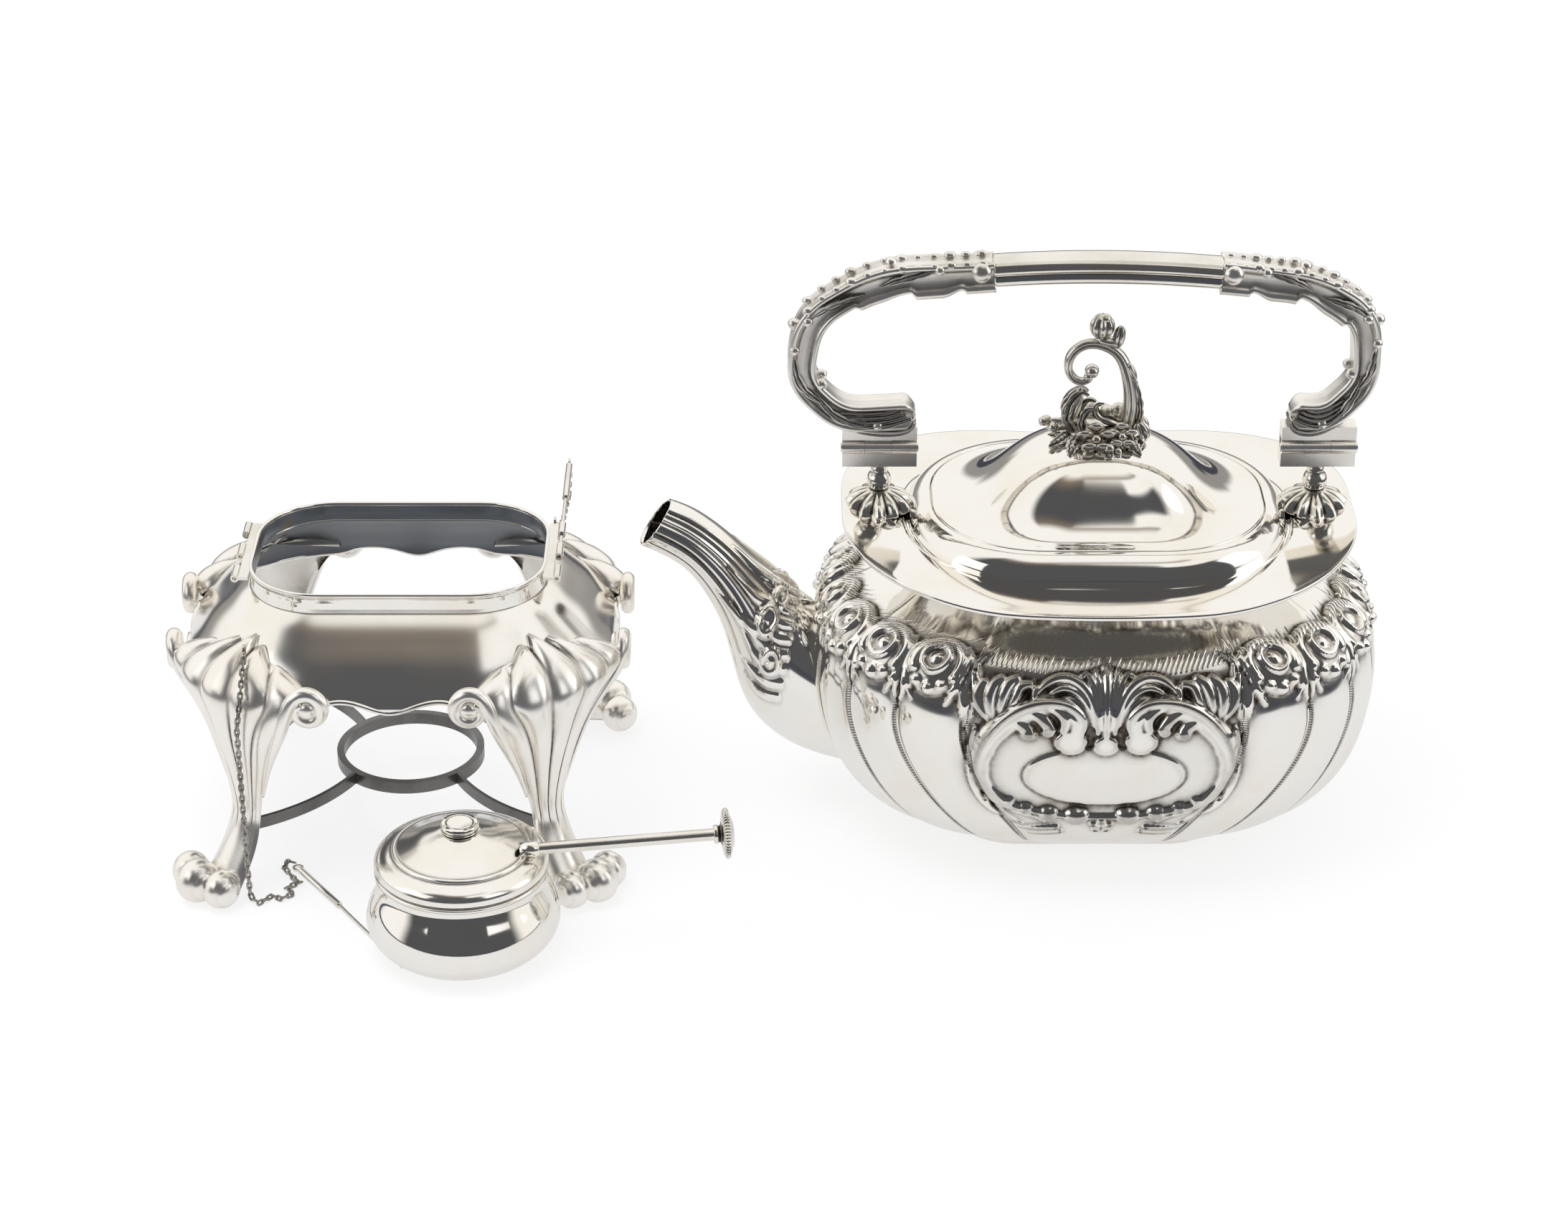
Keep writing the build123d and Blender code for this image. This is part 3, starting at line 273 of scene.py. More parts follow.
def mirrored(piece, name, centre, flips):
    """Copy of a piece with its own mesh, mirrored about a centre where a flip is -1."""
    only(piece)
    bpy.ops.object.duplicate()
    copy = bpy.context.object
    copy.name = copy.data.name = name
    middle = centre * MM
    spots = (per_vertex(copy, "co") - middle) * flips + middle
    copy.data.vertices.foreach_set("co", spots.astype(np.float32).ravel())
    if np.prod(flips) < 0:
        copy.data.flip_normals()
    copy.data.update()
    return copy


def mark(piece, name, values):
    """Store one number per vertex for the materials."""
    layer = piece.data.attributes.get(name) or piece.data.attributes.new(name, "FLOAT", "POINT")
    layer.data.foreach_set("value", np.asarray(values, np.float32))


def places(piece):
    """Vertex places of a piece, in millimetres."""
    return per_vertex(piece, "co") / MM


def mark_hollows(piece, strength=1.0, reach=1.2, tarnish_and_shade_floor=0.0, spared=0.0):
    """Store how hollow the surface is at each vertex, spread over a few millimetres, raised to a floor that
    the caller gives for painted shade and tarnish, and lowered where the caller spares it.
    """
    spots, normals = places(piece), per_vertex(piece, "normal")
    pairs = np.zeros(len(piece.data.edges) * 2, np.int32)
    piece.data.edges.foreach_get("vertices", pairs)
    a, b = pairs.reshape(-1, 2).T

    def gathered(at_a, at_b):
        return np.bincount(a, at_a, len(spots)) + np.bincount(b, at_b, len(spots))

    gap = spots[b] - spots[a]
    square = np.maximum((gap ** 2).sum(1), 1e-4)
    count = np.maximum(gathered(None, None), 1)
    bend = gathered((gap * normals[a]).sum(1) / square, -(gap * normals[b]).sum(1) / square) / count
    bend = np.clip(bend, -0.6, 1.2)
    passes = int(np.clip((reach / max(np.sqrt(square.mean()), 0.05)) ** 2, 1, 12))
    for _ in range(passes):
        bend = 0.4 * bend + 0.6 * gathered(bend[b], bend[a]) / count
    # The caller's floor adds painted shade in broad recesses to the tarnish of the crevices.
    bend = np.maximum(np.clip(bend * 4.0 * strength, 0, 1), tarnish_and_shade_floor)
    mark(piece, "hollow", bend * (1 - spared))


def dress(piece, finish):
    """Give a piece one finish and no other material."""
    piece.data.materials.clear()
    piece.data.materials.append(finishes[finish])


def dress_node(name, finish):
    """Give a plain solid that stays its finish."""
    dress(nodes[name], finish)


def set_down(piece, body, slot, finish, *replaced):
    """Give a finished piece its finish and body, and hide the plain solids it stands for; the slot argument
    is not used.
    """
    if body in ("stand", "burner", "cover"):
        stand_side.add(piece.name)
    dress(piece, finish)
    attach(piece, body)
    if replaced:
        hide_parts(*replaced)


# Plans


def rounded_plan(half_x, half_y, corner, per_corner=28, per_side=16, passes=6):
    """Closed outline of a rounded rectangle, always with the same number of points."""
    corner = min(corner, half_x - 0.01, half_y - 0.01)
    middles = np.array(((1, 1), (-1, 1), (-1, -1), (1, -1))) * (half_x - corner, half_y - corner)
    shares = np.linspace(0, 1, per_side, endpoint=False)[:, None]
    parts = []
    for number, middle in enumerate(middles):
        turns = (number + np.linspace(0, 1, per_corner + 1)) * pi / 2
        arc = middle + corner * np.stack([np.cos(turns), np.sin(turns)], axis=1)
        parts += [arc[:-1], arc[-1] + (middles[(number + 1) % 4] - middle) * shares]
    line = np.concatenate(parts)
    for _ in range(passes):
        line = 0.5 * line + 0.25 * (np.roll(line, 1, axis=0) + np.roll(line, -1, axis=0))
    return line


def level(plan, height):
    """Outline in plan as a row of points at a height, or at a height of its own for each point."""
    return np.column_stack([plan, np.broadcast_to(height, len(plan))])


def oval(half_x, half_y, turns):
    """Squarish oval at given turns."""
    return np.stack([half_x * bowed(np.cos(turns), OVAL), half_y * bowed(np.sin(turns), OVAL)], axis=1)


def moulding(name, plan, section, heights=0.0):
    """Closed section of (out, up) pairs carried round a closed plan."""
    out = unit(quarter(np.roll(plan, -1, axis=0) - np.roll(plan, 1, axis=0)))
    rows = [level(plan + out * reach, heights + up) for reach, up in section]
    return wrap_grid(name, rows + rows[:1])


# Materials


def feed(tree, node, entries):
    """Set inputs of a node, by name or number, to numbers, colours or sockets of other nodes."""
    for title, value in entries.items():
        if isinstance(value, bpy.types.NodeSocket):
            tree.links.new(value, node.inputs[title])
        else:
            node.inputs[title].default_value = (*value, 1.0) if isinstance(value, tuple) else value
    return node


def add_node(tree, kind, entries=None):
    """New node of a kind, with its inputs fed."""
    return feed(tree, tree.nodes.new(kind), entries or {})


def math_node(tree, operation, *values, clamp=False):
    """Math node on sockets or numbers; gives its output socket."""
    made = add_node(tree, "ShaderNodeMath", dict(enumerate(values)))
    made.operation = operation
    made.use_clamp = clamp
    return made.outputs[0]


def step_node(tree, value, low, high):
    """Smooth step of a socket from 0 at low to 1 at high."""
    made = add_node(tree, "ShaderNodeMapRange", {"Value": value, "From Min": low, "From Max": high})
    made.interpolation_type = "SMOOTHSTEP"
    return made.outputs["Result"]


def mix_colours(tree, share, first, second):
    """Mix of two colours or sockets by a share."""
    made = tree.nodes.new("ShaderNodeMix")
    made.data_type = "RGBA"
    return feed(tree, made, {0: share, 6: first, 7: second}).outputs[2]


def noise_node(tree, coordinates, scale, detail, roughness=0.5):
    """Noise texture on given coordinates."""
    return add_node(tree, "ShaderNodeTexNoise", {"Vector": coordinates, "Scale": scale, "Detail": detail,
                                                 "Roughness": roughness}).outputs["Fac"]


def stored(tree, name):
    """Number that the vertices carry under a name."""
    made = tree.nodes.new("ShaderNodeAttribute")
    made.attribute_name = name
    return made.outputs["Fac"]


def new_group(name, entries, exits):
    """Shader node group with named sockets of (name, kind, default)."""
    tree = bpy.data.node_groups.new(name, "ShaderNodeTree")
    for title, kind, default in entries:
        socket = tree.interface.new_socket(title, in_out="INPUT", socket_type=kind)
        socket.default_value = default
    for title, kind in exits:
        tree.interface.new_socket(title, in_out="OUTPUT", socket_type=kind)
    return tree, tree.nodes.new("NodeGroupInput"), tree.nodes.new("NodeGroupOutput")


def silver_group():
    """Group of silver that is clouded on the open faces, darkened in its hollows by tarnish in the crevices
    and by painted shade in the broad recesses, and darker on its inner faces.
    """
    tree, entry, final = new_group("Silver with tarnish and painted shade", (
        ("Bright", "NodeSocketColor", (0.95, 0.93, 0.89, 1.0)),
        ("Clouded", "NodeSocketColor", (0.90, 0.86, 0.78, 1.0)),
        # Dark colour of the tarnish in the hollows, used also for the painted shade in the broad recesses.
        ("Tarnish and shade", "NodeSocketColor", (0.08, 0.065, 0.05, 1.0)),
        ("Inside tone", "NodeSocketColor", (0.11, 0.12, 0.135, 1.0)),
        ("Tarnish and shade gain", "NodeSocketFloat", 1.0),
        ("Polish", "NodeSocketFloat", 0.06),
        ("Dents", "NodeSocketFloat", 0.2),
        ("Grain", "NodeSocketFloat", 0.1),
    ), (("Color", "NodeSocketColor"), ("Roughness", "NodeSocketFloat"), ("Normal", "NodeSocketVector")))
    given = entry.outputs
    spots = add_node(tree, "ShaderNodeTexCoord").outputs["Object"]
    inside = stored(tree, "inside")
    clouds = step_node(tree, noise_node(tree, spots, 32.0, 4.0, 0.6), 0.42, 0.72)
    uneven = math_node(tree, "MULTIPLY_ADD", noise_node(tree, spots, 420.0, 5.0, 0.65), 0.9, 0.55)
    # The hollow mark carries tarnish in the crevices and painted shade in the broad recesses.
    gained = math_node(tree, "MULTIPLY", stored(tree, "hollow"), given["Tarnish and shade gain"])
    tarnish_and_shade_mask = math_node(tree, "MULTIPLY", gained, uneven, clamp=True)
    open_face = mix_colours(tree, clouds, given["Bright"], given["Clouded"])
    freckles = step_node(tree, noise_node(tree, spots, 190.0, 6.0, 0.7), 0.56, 0.70)
    # Inner faces take this darker colour, freckled with brown.
    inside_tone = mix_colours(tree, freckles, given["Inside tone"], (0.16, 0.115, 0.06))
    coat = mix_colours(tree, inside, open_face, inside_tone)
    rough = given["Polish"]
    for cause, gain in ((tarnish_and_shade_mask, 0.30), (inside, 0.24), (clouds, 0.03)):
        rough = math_node(tree, "MULTIPLY_ADD", cause, gain, rough)
    dents = add_node(tree, "ShaderNodeBump", {"Distance": 0.0012, "Strength": given["Dents"],
                                              "Height": noise_node(tree, spots, 26.0, 1.0)})
    last = add_node(tree, "ShaderNodeBump", {"Distance": 0.00006, "Strength": given["Grain"],
                                             "Height": noise_node(tree, spots, 1900.0, 4.0, 0.7),
                                             "Normal": dents.outputs["Normal"]})
    marks = []
    for title, reach in (("strokes", 0.00045), ("pricks", 0.00022)):
        wave = math_node(tree, "COSINE", math_node(tree, "MULTIPLY", stored(tree, title), 2 * pi))
        cut = math_node(tree, "POWER", math_node(tree, "MULTIPLY_ADD", wave, 0.5, 0.5), 3.0)
        cut = math_node(tree, "MULTIPLY", cut, stored(tree, title + "_on"))
        marks.append(cut)
        last = add_node(tree, "ShaderNodeBump", {"Distance": reach, "Height": cut,
                                                 "Normal": last.outputs["Normal"]})
        last.invert = True
    lines = math_node(tree, "MULTIPLY", math_node(tree, "MAXIMUM", *marks), 0.55)
    # Painted shade and tarnish in the hollows, and the engraved lines, take the dark colour.
    coat = mix_colours(tree, math_node(tree, "MAXIMUM", tarnish_and_shade_mask, lines), coat, given["Tarnish and shade"])
    feed(tree, final, {"Color": coat, "Roughness": rough, "Normal": last.outputs["Normal"]})
    return tree


def new_material(name):
    """Material with its tree and its shader."""
    material = bpy.data.materials.new(name)
    material.use_nodes = True
    return material, material.node_tree, material.node_tree.nodes["Principled BSDF"]


def silver(name, group, values):
    """Material of one silver finish, from the shared group."""
    material, tree, shader = new_material(name)
    tarnished_and_shaded = tree.nodes.new("ShaderNodeGroup")
    tarnished_and_shaded.node_tree = group
    feed(tree, tarnished_and_shaded, values)
    feed(tree, shader, {"Metallic": 1.0, "Base Color": tarnished_and_shaded.outputs["Color"],
                        "Roughness": tarnished_and_shaded.outputs["Roughness"], "Normal": tarnished_and_shaded.outputs["Normal"]})
    return material


def make_finishes():
    """All finishes of the set, kept by name."""
    looks = bpy.context.scene.kettle_finish
    group = silver_group()
    titles = ("Bright", "Clouded", "Tarnish and shade", "Tarnish and shade gain", "Polish", "Dents", "Grain")
    own = (tuple(looks.bright), tuple(looks.clouded), tuple(looks.tarnish_and_shade))
    for finish, name, *values in (
        ("polished", "Polished silver", *own, 0.8, looks.polish, 0.10, 0.05),
        ("chased", "Chased silver", *own, 1.0, looks.polish + 0.02, 0.30, 0.02),
        ("softer", "Soft polished silver", *own, 0.8, looks.polish + 0.09, 0.16, 0.03),
        ("arm", "Cast arms", (0.95, 0.92, 0.87), (0.80, 0.765, 0.70), (0.07, 0.06, 0.05),
         1.0, 0.28, 0.25, 0.3),
        ("cast", "Cast silver", (0.80, 0.765, 0.70), (0.62, 0.58, 0.51), (0.06, 0.052, 0.044),
         1.0, 0.20, 0.25, 0.4),
        ("worn", "Worn silver", (0.90, 0.87, 0.81), (0.80, 0.76, 0.68), (0.06, 0.05, 0.04),
         1.3, 0.14, 0.2, 0.25),
        ("satin", "Satin silver", (0.98, 0.95, 0.90), (0.95, 0.90, 0.82), own[2], 1.0, 0.27, 0.3, 0.15),
        ("dulled", "Dulled silver", (0.46, 0.44, 0.41), (0.27, 0.255, 0.235), (0.05, 0.045, 0.04),
         1.0, 0.26, 0.2, 0.4),
        ("blackened", "Blackened silver", (0.20, 0.195, 0.19), (0.12, 0.115, 0.11), (0.03, 0.028, 0.025),
         1.0, 0.30, 0.2, 0.4),
    ):
        finishes[finish] = silver(name, group, dict(zip(titles, values)))
    finishes["cotton"], tree, shader = new_material("Wick cotton")
    spots = add_node(tree, "ShaderNodeTexCoord").outputs["Object"]
    weave = add_node(tree, "ShaderNodeTexWave", {"Scale": 260.0, "Distortion": 1.5, "Vector": spots})
    bump = add_node(tree, "ShaderNodeBump", {"Distance": 0.0004, "Height": weave.outputs["Fac"]})
    colour = mix_colours(tree, weave.outputs["Fac"], (0.62, 0.57, 0.48), (0.83, 0.79, 0.70))
    feed(tree, shader, {"Base Color": colour, "Normal": bump.outputs["Normal"], "Roughness": 0.9})


# Sizes and colours a user would change


class KettleFinish(bpy.types.PropertyGroup):
    bright: FloatVectorProperty(name="Bright silver", description="Colour of the polished faces",
                                subtype="COLOR", size=3, min=0, max=1, default=(0.955, 0.930, 0.885))
    clouded: FloatVectorProperty(name="Clouded silver", description="Colour of the faintly tarnished clouds",
                                 subtype="COLOR", size=3, min=0, max=1, default=(0.93, 0.885, 0.80))
    # Dark colour of the tarnish in the hollows; it is also the colour of the painted shade in the broad
    # recesses.
    tarnish_and_shade: FloatVectorProperty(name="Tarnish and shade", description="Colour of the oxide in the hollows",
                               subtype="COLOR", size=3, min=0, max=1, default=(0.085, 0.066, 0.048))
    polish: FloatProperty(name="Roughness", description="Roughness of the polished faces",
                          subtype="FACTOR", min=0, max=1, default=0.055)


class StandSizes(bpy.types.PropertyGroup):
    lobe_depth: FloatProperty(name="Lobe depth", description="Depth of the grooves between a leg's lobes",
                              unit="LENGTH", default=0.0028)
    bead: FloatProperty(name="Apron bead", description="Radius of the bead along the apron's edge",
                        unit="LENGTH", default=0.0011)


class KettleSizes(bpy.types.PropertyGroup):
    groove_depth: FloatProperty(name="Groove depth", unit="LENGTH", default=0.0031,
                                description="Depth of the grooves between the body's lobes")
    relief: FloatProperty(name="Relief", description="Height of the chased ornament",
                          unit="LENGTH", default=0.0030)
    front_columns: IntProperty(name="Panel fineness", description="Columns of mesh across a chased panel",
                               default=230, min=40, max=300)


# Stand

OPENING = np.array((61.5, 42.5, 30.0))
RIM_TOP = 128.0
RIM_LOW = 119.0
# Fall of the belly under the rim and its reach beyond the opening
BELLY_FALL, BELLY_REACH = 29.0, 29.3
CORNERS = {"front_left": (-1, -1), "front_right": (1, -1), "back_left": (-1, 1), "back_right": (1, 1)}


def apron_height(along, half):
    """Height of the apron's edge along one side, with a curly bracket in its middle."""
    return np.interp(np.abs(along) / half, (0, 0.06, 0.20, 0.34, 0.52, 0.70, 0.86, 1.0, 1.25),
                     (86.9, 87.05, 88.1, 89.7, 91.2, 92.0, 91.9, 91.2, 88.0))


def belly_levels(inset):
    """Plans of the belly at even steps from the rim down, drawn in by inset."""
    shares = ((0.00, 0.03), (0.12, 0.19), (0.30, 0.39), (0.55, 0.65), (0.80, 0.865), (1.00, 1.00))
    curve = [(RIM_LOW - BELLY_FALL * fall, 1.2 + BELLY_REACH * share) for fall, share in shares]
    line = curve_through(curve + [(85.0, 30.1)], 72)
    return np.array([level(rounded_plan(*(OPENING + out - inset), 40, 30), height) for height, out in line])


def cut_to(rows, low):
    """The same rows, with each column ending at its own lowest height."""
    count = len(rows)
    result = np.empty_like(rows)
    for column in range(rows.shape[1]):
        heights = rows[:, column, 2]
        end = np.interp(-low[column], -heights, np.arange(count))
        steps = np.linspace(0, end, count)
        for axis in range(3):
            result[:, column, axis] = np.interp(steps, np.arange(count), rows[:, column, axis])
    return result


class OBJECT_OT_kettle_stand_body(bpy.types.Operator):
    """Belly of the stand with its curly aprons, bead and rim"""
    bl_idname = "object.kettle_stand_body"
    bl_label = "Stand body"

    def execute(self, context):
        bead = context.scene.stand_sizes.bead / MM
        outer, inner = belly_levels(0.0), belly_levels(SHEET)
        x, y = outer[-1, :, 0], outer[-1, :, 1]
        front = np.abs(y) / (OPENING[1] + 30.5) > np.abs(x) / (OPENING[0] + 30.5)
        low = np.where(front, apron_height(x, 27.0), apron_height(y, 20.0))
        for _ in range(3):
            low = 0.5 * low + 0.25 * (np.roll(low, 1) + np.roll(low, -1))
        outer, inner = cut_to(outer, low), cut_to(inner, low)
        body = wrap_grid("stand_belly", np.concatenate([outer, inner[::-1], outer[:1]]) + stand_at)
        spots, normals = places(body) - stand_at, per_vertex(body, "normal")
        away = np.abs(spots[:, :2])
        out = (normals[:, :2] * np.sign(spots[:, :2]) * (away > 20)).sum(1) + normals[:, 2]
        mark(body, "inside", (out < -0.05) & ((away - OPENING[:2]).max(1) > -5))
        section = [(bead * cos(turn) - 0.3, bead * sin(turn)) for turn in full_turn(14)]
        edge = moulding("apron_bead", outer[-1, :, :2] + stand_at[:2], section, outer[-1, :, 2] + 0.2)
        mark_hollows(edge)
        set_down(body, "stand", "polished_silver", "softer", "stand_body")
        set_down(edge, "stand", "polished_silver", "polished")
        inner_wall = rounded_plan(*OPENING, 40, 30)
        profile = soft_corners(((0.0, 1.0), (1.5, 0.0), (1.25, 2.2), (1.2, 4.5), (1.3, 6.6), (1.75, 8.0),
                                (1.6, 9.0), (0.3, 9.0), (0.0, 8.0), (0.0, 5.0), (0.0, 1.0)), 0.35)
        rim = moulding("stand_rim_band", inner_wall + stand_at[:2], profile, RIM_LOW)
        spots = places(rim) - stand_at
        near = np.array([np.min(np.hypot(*(inner_wall - spot[:2]).T)) for spot in spots])
        mark(rim, "inside", (near < 0.12) & (spots[:, 2] < RIM_TOP - SHEET))
        set_down(rim, "stand", "polished_silver", "polished", "stand_rim")
        return {"FINISHED"}


# Level cuts through a leg: height, front edge, crown and side edge, and the wall there
LEG_CUTS = (
    (113.0, 43.0, 57.5, 56.5, 54.0, 69.5, 37.0, 5.0),
    (104.0, 38.0, 70.0, 65.5, 63.0, 86.5, 29.0, 5.0),
    (94.0, 33.0, 77.5, 71.5, 69.0, 96.0, 26.0, 4.5),
    (84.0, 41.0, 79.0, 72.0, 69.5, 88.5, 34.0, 4.5),
    (72.0, 48.5, 77.0, 71.0, 69.0, 80.0, 44.0, 5.0),
    (58.0, 53.0, 73.0, 69.0, 67.5, 74.5, 52.0, 5.5),
    (44.0, 56.0, 69.5, 67.5, 66.5, 71.0, 57.5, 7.0),
    (34.0, 57.5, 68.5, 67.0, 66.0, 71.0, 58.5, 8.0),
    (22.0, 59.7, 73.0, 70.5, 70.0, 74.5, 62.0, 9.0),
    (9.0, 65.0, 79.5, 77.0, 76.0, 81.5, 68.0, 11.0),
    (3.5, 67.5, 82.0, 80.0, 77.5, 85.0, 69.0, 12.0),
)


def arc_plan(cut, share, depth):
    """Point on the circle through a cut's three edge points, drawn in by a depth."""
    _, ax, ay, bx, by, cx, cy, _ = cut
    d = 2 * (ax * (by - cy) + bx * (cy - ay) + cx * (ay - by))
    sa, sb, sc = ax * ax + ay * ay, bx * bx + by * by, cx * cx + cy * cy
    x = (sa * (by - cy) + sb * (cy - ay) + sc * (ay - by)) / d
    y = (sa * (cx - bx) + sb * (ax - cx) + sc * (bx - ax)) / d
    first, last = atan2(ay - y, ax - x), atan2(cy - y, cx - x)
    angle = first + (last - first) * share
    reach = hypot(ax - x, ay - y) - depth
    return x + reach * cos(angle), y + reach * sin(angle)


def leg_rows(lobe_depth):
    """Closed rows of a leg's shell in the corner's own quadrant, from its scalloped top to the foot."""
    lobes, foot, fold_depth, thin = 5, 4.0, 7.0, 2.4
    shares = np.linspace(0, 1, 100)
    local = (shares * lobes) % 1.0 * 2 - 1
    local[-1] = 1.0
    arch = 1 - np.abs(2 * shares - 1) ** 1.6
    tops = 98.5 + 13.0 * arch - 4.2 * np.abs(local) ** 2.2
    cuts = curve_through(LEG_CUTS, 400)
    numbers = np.arange(len(cuts))
    rows = []
    for step in 1 - (1 - np.linspace(0, 1, 110)) ** 0.9:
        heights = tops + (foot - tops) * step
        row = []
        for share, z, top, place in zip(shares, heights, tops, local):
            index = np.interp(-z, -cuts[:, 0], numbers)
            low, part = int(index), index - int(index)
            cut = cuts[low] * (1 - part) + cuts[min(low + 1, len(cuts) - 1)] * part
            flute = lobe_depth * (0.25 + 0.75 * rise(z, 40.0, 92.0)) * rise(z, 26.0, 42.0)
            fold = np.clip((z - top + fold_depth) / fold_depth, 0, 1)
            into = flute * abs(place) ** 2.4 + 8.0 * (1 - (1 - fold ** 2) ** 0.5)
            row.append((*arc_plan(cut, share, into), z))
        for share in np.linspace(1, 0, 24):
            z = np.interp(share, shares, heights)
            cut = cuts[int(round(np.interp(-z, -cuts[:, 0], numbers)))]
            into = thin + (cut[7] - thin) * (1 - (2 * share - 1) ** 2) + 6.0 * (1 - rise(step, 0.0, 0.05))
            row.append((*arc_plan(cut, share, into), z))
        rows.append(row)
    return capped(rows)


def leg_scroll(front):
    """Rolled edge of a leg that ends in a volute, in the corner's own quadrant, with its radii."""
    if front:
        spots = ((55.5, 70.5, 46), (53.0, 73.5, 58), (49.5, 77.0, 70), (45.5, 79.0, 81), (42.5, 79.0, 90),
                 (38.5, 78.0, 97.2), (33.0, 77.6, 98.8), (28.6, 77.4, 95.2), (28.2, 77.4, 89.6),
                 (32.4, 77.4, 86.2), (37.2, 77.4, 88.0), (38.4, 77.8, 92.4), (35.4, 78.4, 94.6))
    else:
        spots = ((71.0, 57.5, 46), (74.8, 53.0, 58), (79.6, 46.5, 70), (86.5, 38.5, 80), (92.5, 33.5, 88),
                 (95.2, 30.5, 95.5), (95.6, 26.0, 98.6), (95.6, 21.6, 96.2), (95.6, 20.0, 91.0),
                 (95.6, 23.2, 86.8), (95.6, 28.6, 87.6), (95.8, 30.6, 92.0), (96.2, 27.8, 94.8))
    radii = (0.6, 1.3, 2.0, 2.6, 3.0, 3.2, 3.3, 3.3, 3.1, 2.9, 2.8, 2.5, 2.0)
    line = curve_through([(*spot, radius) for spot, radius in zip(spots, radii)], 120)
    return line[:, :3] + stand_at, line[:, 3]


def toe_rows(centre, radius, along):
    """Rolled toe: a fat bead, wider across, with a groove that curls on its inner side."""
    turns = full_turn(40)
    aside = np.array((-along[1], along[0], 0.0))
    ring = np.cos(turns)[:, None] * (*along, 0.0) + np.sin(turns)[:, None] * (0, 0, 1)
    rows = []
    for angle in np.linspace(0, pi, 26):
        offset = radius * 0.93 * cos(angle)
        dent = 1 - 0.10 * np.exp(-((abs(offset) / radius - 0.62) / 0.10) ** 2)
        rows.append(centre + offset * aside + radius * sin(angle) ** 0.92 * dent * ring)
    return np.array(rows)


class OBJECT_OT_kettle_stand_legs(bpy.types.Operator):
    """Four cast legs with fluted lobes, volutes and rolled toes"""
    bl_idname = "object.kettle_stand_legs"
    bl_label = "Stand legs"

    def execute(self, context):
        depth = context.scene.stand_sizes.lobe_depth / MM
        parts = [wrap_grid("leg", leg_rows(depth) + stand_at)]
        turns = full_turn(20)
        for front, spot, axis in ((True, (33.6, 80.6, 92.0), (0, 1, 0)),
                                  (False, (97.6, 25.4, 92.0), (1, 0, 0))):
            path, radii = leg_scroll(front)
            parts.append(swept("scroll", path, radii, np.stack([np.cos(turns), np.sin(turns)], axis=1)))
            parts.append(turned("eye", ((0, 0.5), (1.8, 0.3), (3.2, -0.4), (3.9, -1.6), (3.6, -5), (0, -5)),
                                spot + stand_at, axis, 32))
        reach = hypot(84.6, 78.5)
        along = np.array((84.6 / reach, 78.5 / reach))
        for share in (0, 1, -1):
            radius = 8.2 if share else 9.5
            out = (reach - 4.3 * abs(share)) * along + share * 11.0 * np.array((along[1], -along[0]))
            centre = np.array((*out, radius - 0.05)) + stand_at
            parts.append(wrap_grid("toe", toe_rows(centre, radius, along)))
        leg = joined("leg_pattern", parts)
        mark_hollows(leg, 1.1, 1.0)
        for name, flips in CORNERS.items():
            copy = mirrored(leg, f"cast_leg_{name}", stand_at, (*flips, 1))
            set_down(copy, "stand", "cast_silver", "satin", f"leg_{name}")
        bpy.data.objects.remove(leg)
        return {"FINISHED"}


class OBJECT_OT_kettle_stand_fittings(bpy.types.Operator):
    """Burner ring, its arms, the hinge strips, pins and chains"""
    bl_idname = "object.kettle_stand_fittings"
    bl_label = "Stand fittings"

    def execute(self, context):
        dress_node("burner_ring", "blackened")
        for name in CORNERS:
            dress_node(f"ring_arm_{name}", "blackened")
        for side in ("left", "right"):
            dress_node(f"hinge_strip_{side}", "worn")
            dress_node(f"chain_eye_{side}", "cast")
            dress_node(f"pin_{side}", "worn")
            only(nodes[f"chain_{side}"])
            bpy.ops.object.duplicate()
            chain = bpy.context.object
            for key in list(chain.keys()):
                del chain[key]
            chain.parent = None
            chain.name = chain.data.name = f"linked_chain_{side}"
            edit_all(chain)
            bpy.ops.object.mode_set(mode="EDIT")
            bpy.ops.mesh.select_all(action="SELECT")
            bpy.ops.transform.shrink_fatten(value=0.00018 if side == "left" else 0.00006)
            bpy.ops.object.mode_set(mode="OBJECT")
            for vertex in chain.data.vertices:
                vertex.co.z = max(vertex.co.z, 0.0)
            bpy.ops.object.modifier_add(type="DECIMATE")
            chain.modifiers[-1].ratio = 0.5
            bpy.ops.object.modifier_apply(modifier=chain.modifiers[-1].name)
            bpy.ops.object.shade_smooth()
            dress(chain, "dulled")
            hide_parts(f"chain_{side}")
            if side == "left":
                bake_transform(chain)
            else:
                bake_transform(chain)
        return {"FINISHED"}


# Burner


